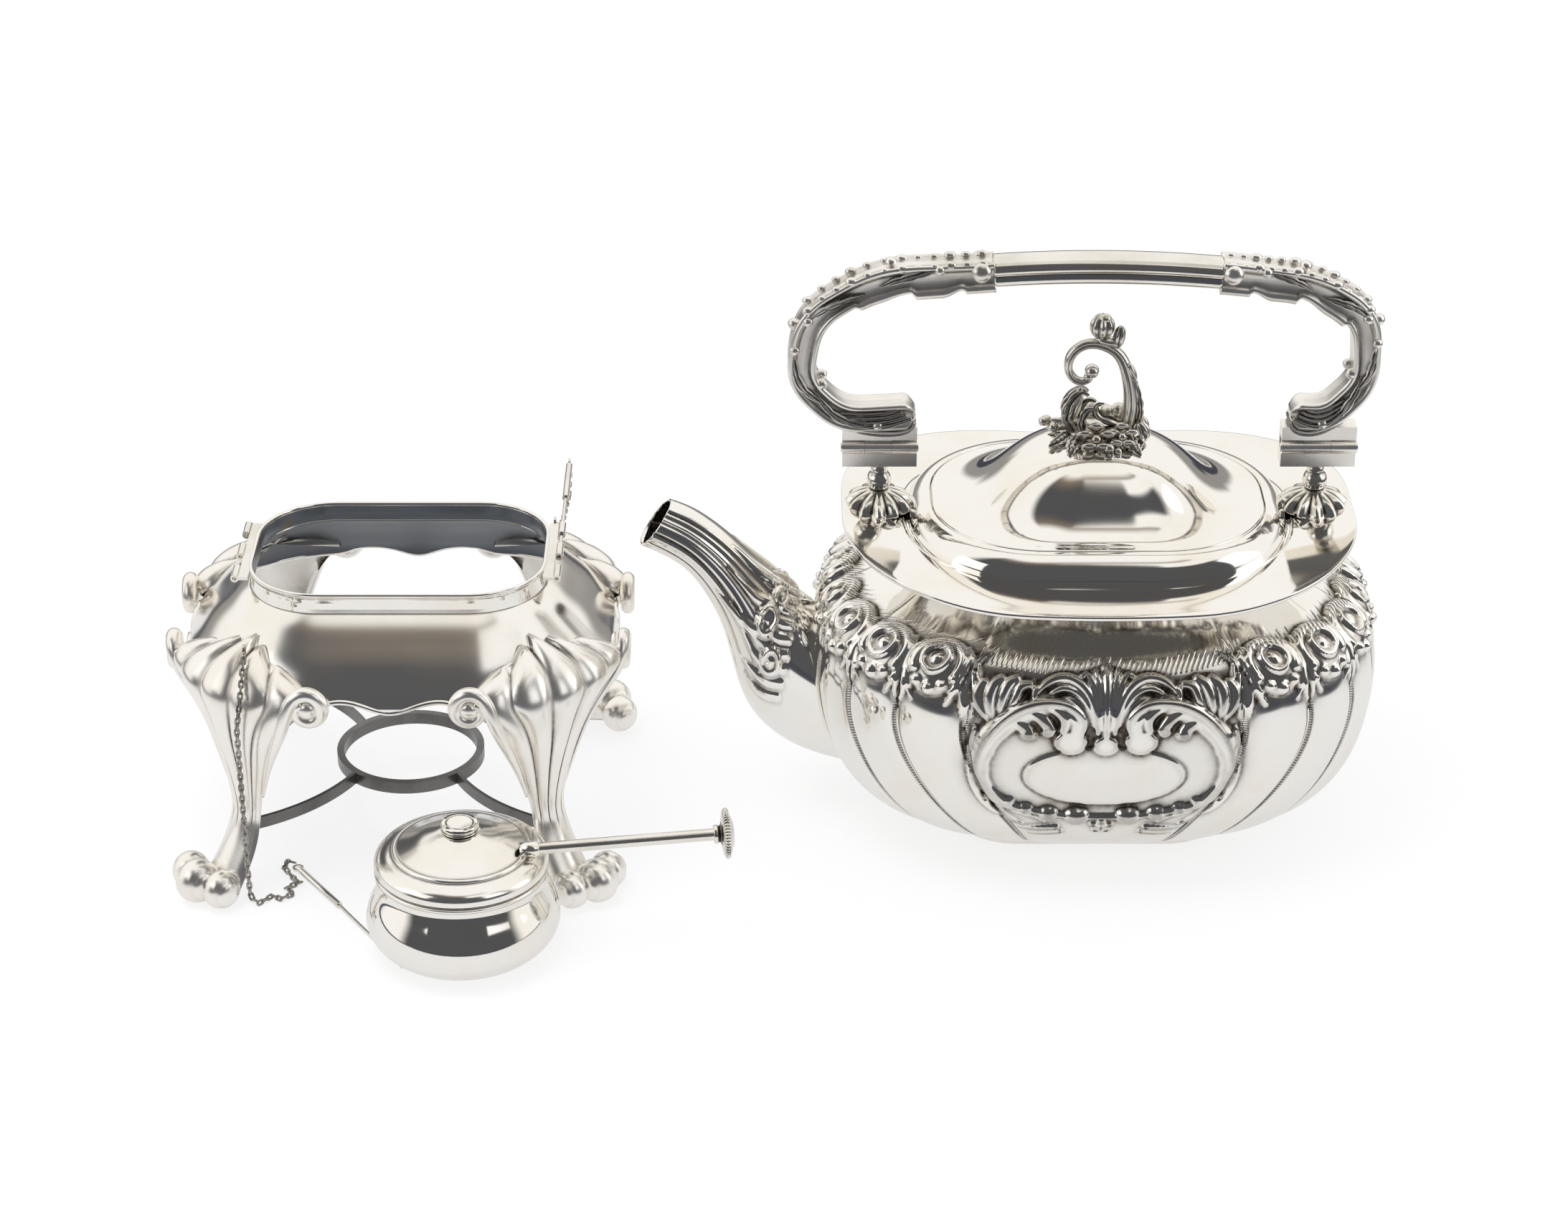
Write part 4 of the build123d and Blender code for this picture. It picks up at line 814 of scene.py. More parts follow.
class OBJECT_OT_kettle_burner(bpy.types.Operator):
    """Spirit burner: bowl, wick plate, stepped cover with button, rod and milled knob"""
    bl_idname = "object.kettle_burner"
    bl_label = "Spirit burner"

    def execute(self, context):
        side = ((21.0, 0.0), (28.6, 1.6), (34.2, 4.8), (38.6, 10.0), (40.2, 16.0), (37.8, 24.5),
                (34.2, 31.0), (33.0, 35.0), (33.4, 37.2))
        lip = ((33.6, 37.7), (33.1, 38.0), (32.4, 37.9), (32.1, 37.2))
        inner = curve_through([(radius - SHEET, max(height, SHEET)) for radius, height in side], 40)[::-1]
        bowl = turned("polished_bowl", [(0, 0), *curve_through(side, 56), *lip, *inner, (0, SHEET)],
                      burner_at, sides=160)
        set_down(bowl, "burner", "polished_silver", "polished", "burner_bowl")
        dress_node("burner_plate", "worn")
        dress_node("wick", "cotton")
        lower = soft_corners(((36.0, 0.0), (36.0, 1.3), (34.9, 1.7), (34.9, 2.3), (36.0, 3.0), (36.0, 4.2)),
                             0.4, 3)
        torus = curve_through(((36.0, 4.4), (35.6, 6.0), (33.8, 7.9), (31.2, 9.1), (29.2, 9.6)), 22)
        ring = curve_through(((28.6, 9.8), (28.4, 10.7), (27.6, 11.2), (26.9, 11.1)), 8)
        dome = curve_through(((26.4, 11.2), (22.0, 13.1), (16.5, 15.6), (11.0, 17.5), (7.5, 18.4),
                              (0, 18.8)), 40)
        under = ((0.0, 17.6), (8.0, 17.0), (14.0, 15.2), (21.0, 12.2), (26.8, 9.4), (34.6, 5.2), (34.8, 0.0),
                 (36.0, 0.0))
        cover = turned("stepped_cover", [*lower, *torus, *ring, *dome, *under], burner_at + (0, 0, 37.5),
                       sides=160)
        mark_hollows(cover)
        start, end = burner_at + (27.6, -5.7, 50.0), burner_at + (104.0, 3.2, 51.8)
        collar = turned("collar", ((2.4, -3.0), (3.2, -3.0), (3.5, 2.2), (3.3, 4.6), (2.9, 5.0), (2.5, 5.0)),
                        start, end - start, 48)
        cover = joined("stepped_cover", [cover, collar])
        set_down(cover, "cover", "polished_silver", "softer", "burner_cover")
        top = soft_corners(((0, 3.35), (5.2, 3.35), (5.6, 2.95), (6.0, 3.3), (7.6, 3.1), (8.0, 1.8),
                            (7.4, 0.7), (7.9, 0.0), (0, 0.0)), 0.35, 3)
        button = turned("ringed_button", top, burner_at + (0, 0, 56.4), sides=96)
        mark_hollows(button)
        set_down(button, "cover", "polished_silver", "polished", "cover_button")
        length = np.linalg.norm(end - start)
        rod = turned("drawn_rod", ((0, 0), (2.5, 0), (2.5, length * 0.5), (2.5, length), (0, length)), start,
                     end - start, 48)
        bpy.ops.object.shade_smooth_by_angle(angle=radians(40))
        set_down(rod, "cover", "polished_silver", "worn", "handle_rod")
        knob = soft_corners(((0, 0, 0), (3.7, 0, 0), (4.1, 1.4, 0), (3.2, 2.4, 0), (4.6, 3.2, 0),
                             (8.4, 3.7, 0), (9.7, 4.3, 0.25), (10.4, 5.4, 0.3), (9.8, 6.4, 0.25),
                             (8.2, 6.9, 0), (5.0, 8.2, 0), (0, 8.5, 0)), 0.3, 3)
        milled = turned("milled_knob", knob, end, end - start, 288, 48)
        mark_hollows(milled, 1.5)
        set_down(milled, "cover", "cast_silver", "worn", "handle_knob")
        return {"FINISHED"}


# Kettle

BODY_SHARES = (
    (0.000, 0.532, 0.508, 0.10), (0.030, 0.606, 0.582, 0.33), (0.098, 0.756, 0.747, 0.67),
    (0.217, 0.890, 0.890, 0.93), (0.370, 0.968, 0.970, 1.00), (0.557, 1.000, 1.000, 1.00),
    (0.711, 0.992, 0.989, 1.00), (0.830, 0.952, 0.941, 0.83), (0.877, 0.912, 0.893, 0.62),
    (0.908, 0.862, 0.838, 0.42), (0.936, 0.806, 0.778, 0.24), (0.966, 0.750, 0.724, 0.10),
    (1.000, 0.702, 0.678, 0.00),
)
BODY_HALF = (124.0, 92.5)
FOOT_TOP = 4.5
SHOULDER = 122.0
# Half width that the ornament of front and back does not pass
WIDEST = 92.3
LOBES = 18
# Lobes that carry the chased cartouche
PANELS = (4, 13)
PLAN_POWER = 1.3
GROOVES = [0.0] + [acos(share ** PLAN_POWER) for share in (0.976, 0.855, 0.677, 0.444)]
GROOVES += [pi - turn for turn in reversed(GROOVES)]
GROOVES = np.array(GROOVES + [pi + turn for turn in GROOVES[1:-1]] + [2 * pi])
# Grooves and middles of the lobes over two rounds, because one side passes the start of the turns
TWO_ROUNDS, TWO_ROUNDS_OF_MIDDLES = (np.concatenate([turns, turns + 2 * pi]) for turns in (
    GROOVES[:-1], (GROOVES[1:] + GROOVES[:-1]) / 2))
# Insets from the body's outline: plain skin, and outside and inside of the lining
SKIN_INSET, LINING_INSETS = 2.2, (3.2, 4.0)


def even_turns(first, last, count):
    """Turns of the body's oval that give equal steps along it."""
    fine = np.linspace(first, last, 6000)
    run = run_of(oval(*BODY_HALF, fine))
    return np.interp(np.linspace(0, run[-1], count), run, fine)


def lobe_place(turns):
    """Place of each turn within its lobe, from -1 to 1."""
    turns = np.mod(turns, 2 * pi)
    number = np.clip(np.searchsorted(GROOVES, turns, side="right") - 1, 0, LOBES - 1)
    return 2 * (turns - GROOVES[number]) / (GROOVES[number + 1] - GROOVES[number]) - 1


def body_profile(count):
    """Height, half sizes and groove share from foot to neck, in equal steps."""
    spots = [(FOOT_TOP + up * (SHOULDER - FOOT_TOP), long * BODY_HALF[0], wide * BODY_HALF[1], 3 * share)
             for up, long, wide, share in BODY_SHARES]
    return curve_through(spots, count)


def body_grid(turns, count, inset, groove):
    """Points of the lobed body for these turns, and each row's run up the profile."""
    near_groove = np.abs(lobe_place(turns))
    into = 0.36 * near_groove ** 2 + 0.64 * near_groove ** 12
    share = bowed(np.cos(turns), 1 / PLAN_POWER)
    side = np.where(np.sin(turns) < 0, -1.0, 1.0)
    profile = body_profile(count)
    run = run_of(profile[:, [0, 2]])
    rows = []
    for (height, half_x, half_y, deep), up in zip(profile, run):
        draw_in = -0.33 + 0.45 * rise(up, 30, 98) + 0.04 * rise(up, 98, 156)
        moved = np.clip(share * (1 + draw_in * (1 - share ** 2)), -1, 1)
        bent = np.arccos(bowed(moved, PLAN_POWER)) * side
        depth = inset + groove * deep / 3 * into
        rows.append(level(oval(half_x - depth, half_y - depth, bent), height))
    return np.array(rows), run


def outward(rows, away):
    """Unit normals of a grid of points, on the side to which these vectors point."""
    normal = unit(np.cross(np.gradient(rows, axis=1), np.gradient(rows, axis=0)))
    return normal * np.sign((normal * away).sum(2).mean())


def stroke(field, x, y, spots, count=36):
    """Raise a field by a round tapered stroke through spots of (x, y, half width, height)."""
    line = curve_through(spots, count)
    reach = line[:, 2].max()
    near = ((x > line[:, 0].min() - reach) & (x < line[:, 0].max() + reach)
            & (y > line[:, 1].min() - reach) & (y < line[:, 1].max() + reach))
    if not near.any():
        return
    at_x, at_y = x[near], y[near]
    best = np.zeros(at_x.shape)
    for px, py, width, height in line:
        far = ((at_x - px) ** 2 + (at_y - py) ** 2) / max(width, 0.1) ** 2
        best = np.maximum(best, height * np.sqrt(np.clip(1 - far, 0, 1)))
    field[near] = np.maximum(field[near], best)


def bead(field, x, y, px, py, half_x, half_y, height):
    """Raise a field by one oval bead."""
    far = ((x - px) / half_x) ** 2 + ((y - py) / half_y) ** 2
    near = far < 1
    field[near] = np.maximum(field[near], height * np.sqrt(1 - far[near]))


def soften(field, passes=1):
    """Blur a field a little."""
    for _ in range(passes):
        padded = np.pad(field, 1, mode="edge")
        field = 0.5 * field + 0.125 * (padded[:-2, 1:-1] + padded[2:, 1:-1] + padded[1:-1, :-2]
                                       + padded[1:-1, 2:])
    return field


def spread(field, reach):
    """Mean of a field over a square of the given half side, taken twice."""
    for _ in range(2):
        for axis in (0, 1):
            pad = [(reach + 1, reach) if k == axis else (0, 0) for k in (0, 1)]
            total = np.cumsum(np.pad(field, pad, mode="edge"), axis=axis)
            length = field.shape[axis]
            low = np.take(total, range(0, length), axis=axis)
            high = np.take(total, range(2 * reach + 1, 2 * reach + 1 + length), axis=axis)
            field = (high - low) / (2 * reach + 1)
    return field


# Half of the cartouche, as distances from its middle and up the body, with half width and height
CRESTS = (
    ((14, 96, 1.2, 1.5), (9.5, 103, 1.7, 2.6), (13.5, 110.5, 2.1, 3.2), (24, 113, 2.3, 3.4),
     (37, 109, 2.4, 3.4), (46.5, 100, 2.2, 3.2), (51.3, 90, 2.0, 2.9), (52, 80, 1.8, 2.6),
     (48.5, 70, 1.6, 2.3), (41, 63, 1.5, 2.0), (34, 60.5, 1.2, 1.6)),
    ((54, 99, 1.0, 1.4), (56, 88, 1.2, 1.7), (55, 74, 1.2, 1.6), (50, 63, 1.1, 1.5), (42, 55, 1.0, 1.3),
     (33, 50, 0.7, 0.9)),
)
FINGERS = (
    ((43, 104.5, 2.4, 2.4), (38, 104.5, 2.6, 2.8), (33.5, 101.5, 2.5, 3.0), (31, 98.5, 1.9, 2.6)),
    ((35.5, 109, 2.3, 2.8), (29, 107.5, 2.5, 3.0), (25, 104, 2.4, 3.1), (23, 101, 2.1, 2.9)),
    ((26, 112, 2.2, 3.0), (20, 109.5, 2.4, 3.2), (17, 105.5, 2.3, 3.3), (17.5, 101.5, 1.9, 3.0)),
    ((16, 108.5, 1.8, 3.0), (12.5, 104, 2.3, 3.3), (13, 99.5, 2.6, 3.5)),
    ((48, 103.5, 1.5, 1.2), (52, 109, 2.3, 2.6), (52.5, 115, 2.3, 3.0), (50, 119.5, 1.6, 2.4)),
    ((46, 104.5, 1.5, 1.4), (48, 111, 2.5, 3.0), (46.5, 118, 2.5, 3.4), (43, 121.5, 1.8, 2.8)),
    ((44, 106.5, 1.4, 1.6), (43, 112.5, 2.4, 3.1), (40.5, 119, 2.5, 3.6), (37, 121.8, 1.8, 3.0)),
    ((41.5, 108.5, 1.3, 1.6), (38, 113, 2.2, 3.0), (35.5, 118.5, 2.2, 3.3), (31.5, 119.8, 1.7, 2.6)),
    ((3.5, 100, 1.2, 2.2), (5, 110, 1.9, 3.0), (9, 118.5, 2.2, 3.4), (16.5, 122.8, 2.2, 3.4),
     (24, 121, 1.9, 2.9), (28.5, 117, 1.3, 2.0)),
    ((5, 103, 1.0, 1.8), (7.5, 111, 1.6, 2.6), (11.5, 116.5, 1.8, 2.9), (17.5, 118.8, 1.8, 2.7),
     (22.5, 117, 1.4, 2.0)),
    ((6, 103, 0.8, 1.2), (9, 110, 1.3, 2.2), (13, 113.8, 1.5, 2.3), (18, 115, 1.2, 1.8)),
    ((2.2, 102, 1.1, 2.2), (3.2, 112, 1.5, 2.9), (5.5, 120, 1.6, 3.1), (8.5, 124, 1.5, 2.8),
     (11, 123.2, 1.2, 2.0)),
    ((0, 99, 1.6, 2.6), (0, 110, 1.6, 3.0), (0, 119, 2.0, 3.2), (0, 126.5, 2.4, 2.4)),
    ((1.4, 108, 0.9, 2.2), (2.8, 118, 1.3, 2.8), (4.6, 125.5, 1.5, 2.2)),
    ((59.5, 114, 1.6, 2.4), (59, 107, 2.0, 2.8), (58, 100.5, 1.2, 1.6), (57.5, 96, 0.5, 0.6)),
    ((56.5, 113, 1.3, 2.0), (56, 106.5, 1.6, 2.2), (57, 101, 0.9, 1.2)),
    ((37, 60, 1.6, 1.7), (30, 57, 1.5, 1.6), (24, 52.5, 0.9, 0.9)),
    ((44, 64, 1.6, 1.8), (42, 57.5, 1.3, 1.4), (36, 52.5, 0.7, 0.7)),
    ((48, 69, 1.5, 1.7), (47.5, 61.5, 1.2, 1.3), (43, 56, 0.6, 0.6)),
    ((51, 76, 1.3, 1.5), (52, 68, 1.1, 1.2), (48.5, 61, 0.6, 0.6)),
    ((27, 111.5, 0.9, 1.8), (30, 115.5, 1.5, 2.5), (29, 118.5, 1.1, 1.8)),
    ((19, 49, 1.6, 1.6), (27, 47.5, 1.4, 1.3), (34, 46.5, 0.7, 0.7)),
    ((17, 45.5, 1.3, 1.3), (24, 43, 1.1, 1.0), (30, 41.5, 0.6, 0.5)),
)
BALLS = (
    (14.6, 95.8, 7.2, 5.9, 5.2), (0.0, 94.2, 5.6, 4.6, 4.6), (32.3, 99.0, 3.4, 3.1, 3.8),
    (24.0, 100.6, 3.2, 3.0, 4.0), (10.8, 57.8, 5.9, 4.6, 4.9), (22.6, 59.2, 4.7, 4.0, 4.4),
    (32.2, 61.6, 3.8, 3.3, 3.8), (39.3, 65.2, 2.8, 2.5, 3.2), (0.0, 50.3, 1.9, 1.8, 2.4),
)
CREST_TURNS = (-1.60, -1.25, -0.94, -0.69, -0.36, 0.09, 0.45, 0.79, 1.05, 1.25, 1.60)
CREST_REACH = (1.30, 1.33, 1.40, 1.51, 1.50, 1.525, 1.65, 1.91, 2.15, 2.30, 2.30)


def panel_relief(x, v):
    """Height and tint of the chased cartouche over the middle lobe, for x across and v up the body."""
    x = np.abs(x)
    long, tall = 34.5, 16.0
    dx, dv = x / long, (v - 78.5) / tall
    reach, angle = np.hypot(dx, dv), np.arctan2(dv, dx)
    crest = np.interp(angle, CREST_TURNS, CREST_REACH)
    scale = np.hypot(long * np.cos(angle), tall * np.sin(angle))
    across = (reach - 1) / (crest - 1)
    along = np.clip(across, 0, 1)
    beyond = np.clip((reach - crest) * scale, 0, None)
    field = (0.15 + 1.3 * along ** 1.5) * rise(reach, 1.0, 1.04) * np.exp(-(beyond / 1.6) ** 2)
    beside = np.maximum(rise(x, 17, 27), rise(-v, -97, -92))
    field = np.maximum(field, 3.4 * beside * np.sqrt(np.clip(1 - ((across - 0.94) / 0.23) ** 2, 0, 1)))
    field = np.where(reach < 1, 0.55 + 1.5 * (1 - reach ** 2), field)
    for spots in CRESTS:
        stroke(field, x, v, [(px, pv, width * 1.12, high * 1.5) for px, pv, width, high in spots], 90)
    for number, spots in enumerate(FINGERS):
        wider, higher = (1.3, 1.12) if number < 4 else (1.15, 1.25)
        stroke(field, x, v, [(px, pv, width * wider, high * higher) for px, pv, width, high in spots])
    for px, pv, half_x, half_v, height in BALLS:
        bead(field, x, v, px, pv, half_x, half_v, height)
    for turn in (0.35, 1.57, 2.79, 4.05, 5.37):
        for side in (1, -1):
            bead(field, x, v, side * 3.4 * cos(turn), 50.3 + 3.2 * sin(turn), 2.1, 1.9, 1.9)
    rim = np.exp(-((reach - 1.0) * scale / 0.85) ** 2)
    covered = np.clip(field - 2.2, 0, 1)
    dish = rise(along, 0.01, 0.10) * rise(-along, -0.85, -0.62)
    inner = np.exp(-((across - 0.71) / 0.03) ** 2)
    outer = np.exp(-(((across - 1.18) * scale * (crest - 1)) / 0.7) ** 2)
    tint = np.maximum.reduce([0.07 * dish, 0.85 * rim, 0.45 * inner, 0.5 * outer]) * (1 - covered)
    return field - 1.5 * rim * (1 - covered), tint


def boss_relief(s, v, squeeze, flip):
    """Height of one eyed boss with its wrap, small balls and leaf, for s across its lobe."""
    s = s / squeeze * flip
    field = 2.7 * np.sqrt(np.clip(1 - np.hypot(s / 12.6, (v - 122.5) / 11.5) ** 2, 0, 1))
    wrap = np.linspace(0.0, 1.0, 26)
    coil = 1.1 * pi - 0.62 * 2 * pi * wrap
    line = np.stack([9.6 * np.cos(coil) + 0.8, 124.5 + 9.6 * 0.92 * np.sin(coil),
                     3.3 * (1.0 - 0.9 * pi * wrap / 6.3), 4.3 * (1.0 - 0.6 * pi * wrap / 6.3)], axis=1)
    stroke(field, s, v, line, 60)
    ring = [(5.5 * cos(turn) - 0.4, 126.0 + 5.0 * sin(turn), 1.6, 4.3) for turn in 2 * pi * wrap]
    stroke(field, s, v, ring, 60)
    dish = np.hypot((s + 0.4) / 5.3, (v - 126.0) / 4.8)
    field = np.where(dish < 1, np.minimum(field, 3.0 + 1.7 * dish ** 3), field)
    bead(field, s, v, -0.2, 125.9, 3.6, 3.2, 3.6)
    for px, pv, size in ((-6.2, 116.4, 2.7), (-0.6, 114.2, 3.0), (5.0, 115.8, 2.6), (9.2, 119.0, 2.0)):
        bead(field, s, v, px, pv, size, size, 3.9)
    for side in (-1, 1):
        stroke(field, s, v, ((side * 9.0, 113.5, 1.4, 2.2), (side * 11.5, 118.5, 1.8, 3.0),
                             (side * 12.2, 126.0, 1.6, 2.8), (side * 9.0, 133.0, 1.0, 1.6)))
        stroke(field, s, v, ((side * 7.6, 108.0, 0.5, 0.6), (side * 9.6, 112.0, 1.3, 1.8),
                             (side * 12.0, 116.0, 1.6, 2.6)))
    return field


def drop_relief(s, v):
    """Height of the leaf that hangs over a groove, for s across from the groove."""
    s = np.abs(s) / 0.8
    field = np.zeros(s.shape)
    for spots in (((0, 118, 1.5, 2.8), (0, 111, 2.4, 3.4), (0, 105, 1.6, 2.4), (0, 99.5, 0.5, 0.6)),
                  ((1.6, 122, 1.2, 2.4), (3.6, 114, 1.6, 3.0), (3.4, 108, 1.0, 1.8), (1.8, 104.5, 0.5, 0.8)),
                  ((2.5, 125, 1.1, 2.0), (5.6, 118.5, 1.3, 2.4), (5.8, 113.0, 0.8, 1.4)),
                  ((0, 119, 1.2, 2.6), (0, 125, 1.7, 3.0), (0, 131, 1.0, 1.6)),
                  ((1.0, 124, 1.0, 2.2), (3.4, 129.5, 1.3, 2.4), (6.4, 132.5, 0.8, 1.4))):
        stroke(field, s, v, spots)
    return field


class OBJECT_OT_kettle_body(bpy.types.Operator):
    """Lobed body of the kettle, chased all round, with its foot and lining"""
    bl_idname = "object.kettle_body"
    bl_label = "Kettle body"

    def execute(self, context):
        sizes = context.scene.kettle_sizes
        for name, first, last in (("back", 4, 5), ("left", 5, 13), ("front", 13, 14), ("right", 14, 22)):
            self.skin(sizes, name, first, last)
        self.lining_and_foot(sizes.groove_depth / MM)
        for side in SIDES:
            dress_node(f"kettle_hinge_{side}", "worn")
        return {"FINISHED"}

    def skin(self, sizes, name, first, last):
        """One side of the body, from groove to groove, with its ornament."""
        panel = first in PANELS
        columns, count = (sizes.front_columns, 330) if panel else (410, 220)
        start, end = TWO_ROUNDS[[first, last]]
        turns = even_turns(start - 0.02, end + 0.02, columns)
        ends = np.searchsorted(turns, (start, end))
        turns[ends] = start, end
        rows, run = body_grid(turns, count, SKIN_INSET, sizes.groove_depth / MM)
        v = np.broadcast_to(run[:, None], rows.shape[:2])
        arc = np.array([run_of(row) for row in rows])
        sharp, tint, ladder = self.relief(turns, start, end, rows[..., 0], v, arc)
        height = soften(sharp, 2 if panel else 1)
        height[:, ends] = sharp[:, ends]
        fine, broad = (3, 9) if panel else (2, 6)
        # Painted shade in the recesses of the relief, fine and broad, joined by the tint; it becomes the
        # floor of the hollow mark.
        deep = np.clip(0.9 * (spread(height, fine) - height), 0, 1)
        deep = np.clip(deep + 0.34 * np.clip(spread(height, broad) - height, 0, 1.2), 0, 1)
        deep = np.maximum(deep, tint)
        rows = rows + outward(rows, rows * (1, 1, 0)) * (sizes.relief / 0.003 * height)[..., None]
        past = np.maximum(np.abs(rows[..., 1]) - (WIDEST - 0.9), 0)
        rows[..., 1] -= np.sign(rows[..., 1]) * (past - 0.9 * np.tanh(past / 0.9))
        arc = arc - arc[:, ends[:1]]
        keep = slice(ends[0], ends[1] + 1)
        rows, arc, up, height, deep, ladder = (grid[:, keep] for grid in (rows, arc, v, height, deep, ladder))
        skin = wrap_grid(f"chased_body_{name}", rows + kettle_at, around=False)
        mid = np.abs(rows[..., 0]) if panel else np.full(up.shape, 60.0)
        low = np.interp(mid, (0, 12, 25, 40, 60), (123.0, 123.0, 124.0, 126.0, 129.5))
        waver = 1.4 * np.sin(arc * 1.31) + 1.1 * np.sin(arc * 2.7 + 1.0)
        band = rise(up, low - 0.5, low + 1.2) * rise(-up, -(low + 7.6 + waver), -(low + 5.4 + waver))
        # The smooth band above the strokes is spared this darkening.
        spared = 0.92 * rise(up, low + 7.0, low + 9.0) * rise(-height, -0.6, -0.2)
        for title, values in (("strokes", arc / 2.15), ("strokes_on", band), ("pricks", up / 1.15),
                              ("pricks_on", ladder)):
            mark(skin, title, values.ravel())
        mark_hollows(skin, 1.2, 1.6, deep.ravel(), spared.ravel())
        set_down(skin, "kettle", "polished_silver", "chased")

    def relief(self, turns, start, end, x, v, arc):
        """Height of the ornament over one side, its tint, and its ladders of pricks."""
        def across(turn):
            return arc - np.array([np.interp(turn, turns, line) for line in arc])[:, None]

        height, tint = panel_relief(x, v)
        ladder = np.zeros(v.shape)
        for number, turn in enumerate(TWO_ROUNDS_OF_MIDDLES):
            if number % LOBES in PANELS or not start < turn < end:
                continue
            narrow = 0.80 if number % LOBES in (0, 8, 9, 17) else 1.0
            flip = 1 if turn % pi < pi / 2 else -1
            height = np.maximum(height, boss_relief(across(turn), v, narrow, flip))
        under = rise(-v, -108, -98)
        half = np.interp(v, (10, 50, 75, 100), (0.3, 0.9, 1.5, 2.0))
        for turn in TWO_ROUNDS:
            if not start - 0.05 < turn < end + 0.05 or abs(np.sin(turn)) < 0.01:
                continue
            s = across(turn)
            rungs = rise(-np.abs(s), -half - 0.5, -half) * rise(v, 22, 50) * under
            edge = np.exp(-((np.abs(s) - half - 0.3) / 0.5) ** 2) * rise(v, 6, 22) * under
            height = np.maximum(height, drop_relief(s, v)) - 0.5 * rungs - 1.0 * edge
            tint, ladder = np.maximum(tint, 0.8 * edge), np.maximum(ladder, rungs)
        return height, tint, ladder

    def lining_and_foot(self, groove):
        turns = even_turns(0, 2 * pi, 181)[:-1]
        outer, inner = (body_grid(turns, 60, inset, groove)[0] for inset in LINING_INSETS)
        inner[:, :, 2] = np.maximum(inner[:, :, 2], FOOT_TOP + SHEET)
        low, high = (np.zeros((1, 180, 3)) + (0, 0, FOOT_TOP + wall) for wall in (0.0, SHEET))
        lining = wrap_grid("body_lining", np.concatenate([low, outer, inner[::-1], high]) + kettle_at)
        set_down(lining, "kettle", "polished_silver", "worn", "kettle_body", "kettle_floor")
        section = soft_corners(((-2.4, 2.0), (-2.4, 0.0), (0.1, 0.0), (0.0, 1.0), (-0.3, 3.4), (0.0, 4.5),
                                (-2.4, 4.5), (-2.4, 2.0)), 0.4, 3)
        foot = moulding("plain_foot", rounded_plan(60.0, 41.0, 28.0, 40, 30) + kettle_at[:2], section[:-1])
        set_down(foot, "kettle", "polished_silver", "polished", "kettle_foot")


TRAY = 135.0
MOUTH = np.array((71.0, 53.5, 46.0))
# Radius of the tray's curve, from its half length and rise
SADDLE = (115.0 ** 2 + 10.02 ** 2) / (2 * 10.02)
# Points on a corner and a side of the plans of tray, mouth and lid, and their smoothing
FINE_PLAN = (48, 36, 10)


def saddle_height(x):
    """Height of the tray's curve over the table, for a distance from the kettle's middle."""
    return TRAY + SADDLE - np.sqrt(SADDLE ** 2 - x ** 2)


def kettle_ring(name, rows):
    """Piece of the kettle from rows of which the last meets the first."""
    return wrap_grid(name, np.array([*rows, rows[0]]) + kettle_at)


